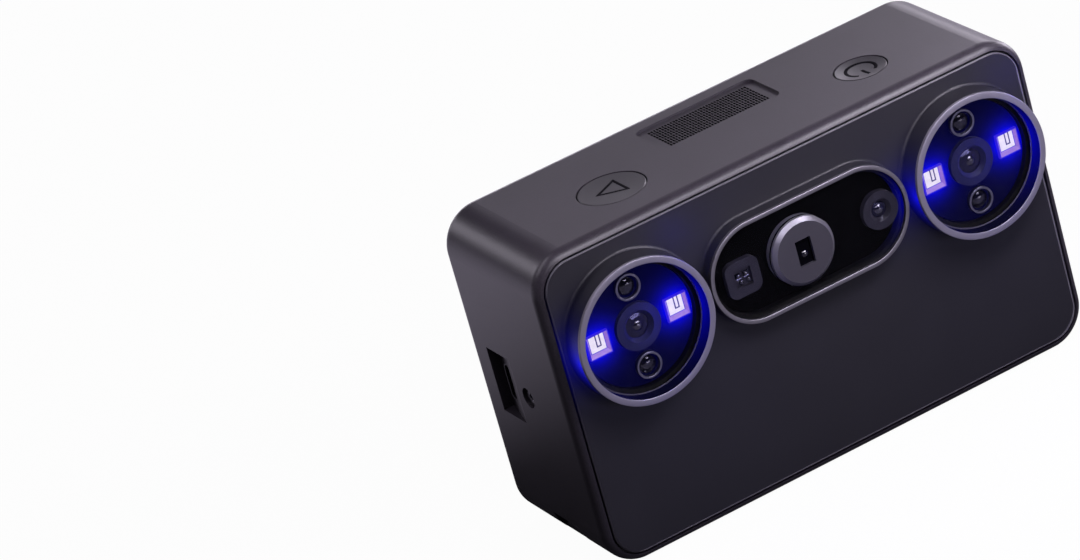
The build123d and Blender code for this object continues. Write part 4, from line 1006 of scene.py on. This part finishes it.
def flat(x, z, wide, tall, corner=0.0, depth=ui_y, name=None):
    """Rectangle in the screen's plane: a new piece if it has a name, or else more of the open mesh."""
    place, piece = (x, depth, z), None
    settings = {"size": 1.0 * MM, "location": place, "rotation": to_rear}
    if name:
        piece = fresh(bpy.ops.mesh.primitive_plane_add, name, **settings)
    else:
        bpy.ops.mesh.select_all(action="DESELECT")
        bpy.ops.mesh.primitive_plane_add(**settings)
    bpy.ops.transform.resize(value=(wide / MM, 1, tall / MM), center_override=place)
    if corner:
        bpy.ops.mesh.bevel(offset=corner, segments=5, affect="VERTICES")
    return piece


letter_share = 0.7


def words(name, body, place, turn, tall, finish, slot):
    """Text as a thin mesh at a place."""
    deselect()
    bpy.ops.object.text_add(location=place, rotation=turn)
    text = bpy.context.object.data
    text.body = body
    text.size = tall / letter_share
    text.extrude = film / 2
    text.align_y = "CENTER"
    text.resolution_u = 6
    bpy.ops.object.convert(target="MESH")
    piece = bpy.context.object
    piece.name = piece.data.name = name
    bpy.ops.object.mode_set(mode="EDIT")
    close(piece, finish, slot=slot, smooth=30)


field_low, field_high = 16.0 * MM, 61.5 * MM
field = flat(2.0 * MM, (field_low + field_high) / 2, 82.0 * MM, field_high - field_low, depth=screen_y + film,
             name="screen_field")
on_screen(field, pixel_dark)

# %% [markdown]
# ## Readings on the screen
# At the left stand a temperature with its small thermometer and a distance bar in three colours with a
# marker. At the right are a signal fan and a battery. The signal fan is three rings, cut down to the
# quarter that points up; the thermometer is a circle whose top edge is pulled upwards.

# %% Numbers, bar and marker
row_z = 57.0 * MM
readings = [
    ("temperature", "24.5", 35.6 * MM, row_z, 2.9 * MM),
    ("charge", "80%", -24.6 * MM, row_z, 2.6 * MM),
    ("rate", "60", 41.4 * MM, 20.0 * MM, 2.4 * MM),
]
for what, body, x, z, tall in readings:
    words(f"screen_{what}", body, (x, ui_y, z), to_rear, tall, pixel_white, "display_panel")

bar_x, bar_low, bar_high = 41.0 * MM, 25.5 * MM, 51.5 * MM
bar_mid, bar_long = (bar_x, ui_y, (bar_low + bar_high) / 2), bar_high - bar_low
bar = fresh(bpy.ops.mesh.primitive_grid_add, "screen_range_bar", x_subdivisions=1, y_subdivisions=21,
            size=1.0 * MM, location=bar_mid, rotation=to_rear)
bpy.ops.transform.resize(value=(1.0, 1, bar_long / MM), center_override=bar_mid)
on_screen(bar, pixel_blue, pixel_green, pixel_red)
for face in bar.data.polygons:
    share = (face.center.z - bar_low) / bar_long
    face.material_index = 2 if share < 0.19 else 0 if share > 0.81 else 1
marker_y = ui_y + 2 * film
marker = flat(bar_x, 38.6 * MM, 2.3 * MM, 0.9 * MM, 0.3 * MM, marker_y, "screen_range_marker")
on_screen(marker, pixel_white)

# %% Thermometer, signal fan and battery
stem_x, stem_long, bulb, bulb_z = 39.0 * MM, 2.6 * MM, 0.95 * MM, row_z - 1.1 * MM
gauge = disc("screen_thermometer", 24, bulb, (stem_x, ui_y, bulb_z), to_rear)
pick(gauge, lambda spot, aim: spot.z > bulb_z + 0.8 * bulb, "EDGE")
bpy.ops.mesh.extrude_edges_move(TRANSFORM_OT_translate={"value": (0, 0, stem_long)})
on_screen(gauge, pixel_white)

fan_x, fan_z, fan_line, fan_half = -20.6 * MM, row_z - 1.3 * MM, 0.48 * MM, radians(46)
signal = disc("screen_signal", 16, 0.42 * MM, (fan_x, ui_y, fan_z), to_rear)
for radius in (1.3 * MM, 2.2 * MM, 3.1 * MM):
    bpy.ops.mesh.select_all(action="DESELECT")
    bpy.ops.mesh.primitive_circle_add(vertices=64, radius=radius, fill_type="NGON",
                                      location=(fan_x, ui_y, fan_z), rotation=to_rear)
    open_middle(fan_line)


def outside_fan(spot, aim):
    """True for ring faces that don't point up."""
    side, up = spot.x - fan_x, spot.z - fan_z
    return sqrt(side**2 + up**2) > 0.5 * MM and abs(atan2(side, up)) > fan_half


pick(signal, outside_fan)
bpy.ops.mesh.delete(type="FACE")
on_screen(signal, pixel_white)

cell_x, cell_line = -35.2 * MM, 0.32 * MM
battery = flat(cell_x, row_z, 4.2 * MM, 2.4 * MM, 0.5 * MM, name="screen_battery")
pick_all()
open_middle(cell_line)
flat(cell_x + 0.35 * MM, row_z, 2.5 * MM, 1.4 * MM, 0.2 * MM)
flat(cell_x - 2.4 * MM, row_z, 0.4 * MM, 1.1 * MM)
on_screen(battery, pixel_white)

# %% [markdown]
# ## The scanned vase
# The scan in the middle of the screen is a plain vase with two handles, in the even blue of a fresh scan.
# It is modelled in the round: a circle is extruded and resized ring by ring, as on a wheel. Its light and
# shade are kept as a colour on its points, and then it is pressed flat to lie under the glass.

# %% Model the vase
vase_foot, vase_x = 18.0 * MM, 0.5 * MM
rings = [(1.0, 5.6), (1.2, 4.7), (3.0, 6.4), (4.0, 9.2), (4.0, 10.9), (4.0, 11.0), (3.6, 9.4), (3.0, 6.8),
         (2.4, 5.2), (3.0, 4.9), (2.4, 6.0), (0.8, 6.9), (0.5, 6.7), (0.0, 5.7), (-2.0, 4.6)]
radius_mm = 5.8
vase = disc("screen_scan", 48, radius_mm * MM, (vase_x, screen_y, vase_foot))
pick_all("EDGE")
height = vase_foot
for rise_mm, next_mm in rings:
    bpy.ops.mesh.extrude_edges_move(TRANSFORM_OT_translate={"value": (0, 0, rise_mm * MM)})
    height += rise_mm * MM
    scale = next_mm / radius_mm
    bpy.ops.transform.resize(value=(scale, scale, 1), center_override=(vase_x, screen_y, height))
    radius_mm = next_mm
bpy.ops.mesh.edge_face_add()
handle_out, handle_z, handle_bow, handle_thick = 8.2 * MM, 38.5 * MM, 5.0 * MM, 0.9 * MM
for way in (-1, 1):
    bpy.ops.mesh.select_all(action="DESELECT")
    bpy.ops.mesh.primitive_torus_add(major_radius=handle_bow, minor_radius=handle_thick, major_segments=32,
                                     minor_segments=10, rotation=upright,
                                     location=(vase_x + way * handle_out, screen_y, handle_z))
bpy.ops.mesh.select_all(action="SELECT")
bpy.ops.transform.rotate(value=radians(14), orient_axis="X", center_override=(vase_x, screen_y, 34 * MM))
bpy.ops.mesh.normals_make_consistent(inside=False)
bpy.ops.object.mode_set(mode="OBJECT")
bpy.ops.object.shade_smooth()

# %% Shade the vase and press it flat
lamp_way = Vector((0.5, 0.7, 0.5)).normalized()
glint_way = (lamp_way + Vector((0, 1, 0))).normalized()
shade = vase.data.color_attributes.new("scan_shade", "FLOAT_COLOR", "POINT")
deep, bright, glint = (Vector(tone(code)[:3]) for code in ("#062a48", "#2a8fd6", "#9fdcff"))
for point in vase.data.vertices:
    lit, mirror = (max(0.0, point.normal.dot(way)) for way in (lamp_way, glint_way))
    colour = deep.lerp(bright, lit).lerp(glint, 0.8 * mirror**40)
    shade.data[point.index].color = (*colour, 1.0)
scan_blue = glowing("lit_scan_pixels", "#ffffff", 0.95, 0.9)
shader = scan_blue.node_tree.nodes["Principled BSDF"]
grain = shader.inputs["Emission Color"].links[0].from_socket
kept = put("Attribute", {"attribute_name": "scan_shade"}, scan_blue.node_tree).outputs["Color"]
feed(shader, {"Emission Color": mixed(1.0, kept, grain, "MULTIPLY")})
pressed, lifted = 0.012, 0.3 * MM
bpy.ops.object.mode_set(mode="EDIT")
bpy.ops.mesh.select_all(action="SELECT")
bpy.ops.transform.resize(value=(1, pressed, 1), center_override=(vase_x, screen_y, 0))
bpy.ops.transform.translate(value=(0, lifted, 0))
close(vase, scan_blue, slot="display_panel", smooth=180)

# %% [markdown]
# ## Sticker and switch numbers
# A blank pale sticker covers part of the small plate underneath, and the two places of the mode switch are
# numbered. Both are thin: the sticker is a rounded rectangle, the numbers are text laid on the panel.

# %% Sticker underneath, numbers at the switch
low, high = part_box("small_label")
sticker_shift, sticker_thick = 5.2 * MM, 0.06 * MM
sticker_mid = Vector(((low.x + high.x) / 2, (low.y + high.y) / 2 + sticker_shift, low.z))
sticker = fresh(bpy.ops.mesh.primitive_plane_add, "blank_sticker", size=1.0 * MM, location=sticker_mid)
bpy.ops.transform.resize(value=(11.7, 12.4, 1), center_override=sticker_mid)
bpy.ops.mesh.bevel(offset=0.4 * MM, segments=5, affect="VERTICES")
thicken((0, 0, -sticker_thick))
paper_film = gloss_film("white_sticker_film", "#d9d9dc", "#e4e4e6", 0.35)
close(sticker, paper_film, slot="label_gloss", smooth=30)

switch_ink = gloss_film("pale_printed_ink", "#a9a8ae", "#b7b6bb", 0.5)
switch_mid = middle("mode_switch_body")
panel_face, number_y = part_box("radio_panel")[1].x, switch_mid.y - 0.7 * MM
for body, rise in (("1", 5.4 * MM), ("2", -5.4 * MM)):
    words(f"switch_number_{body}", body, (panel_face, number_y, switch_mid.z + rise), (pi / 2, 0, pi / 2),
          2.0 * MM, switch_ink, "shell_plastic")

# %% [markdown]
# ## Box of the finished model
# The box of the finished model, with the pieces added here, is printed.

# %% Box of the finished model
low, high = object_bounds()
print("visual box", low, high)
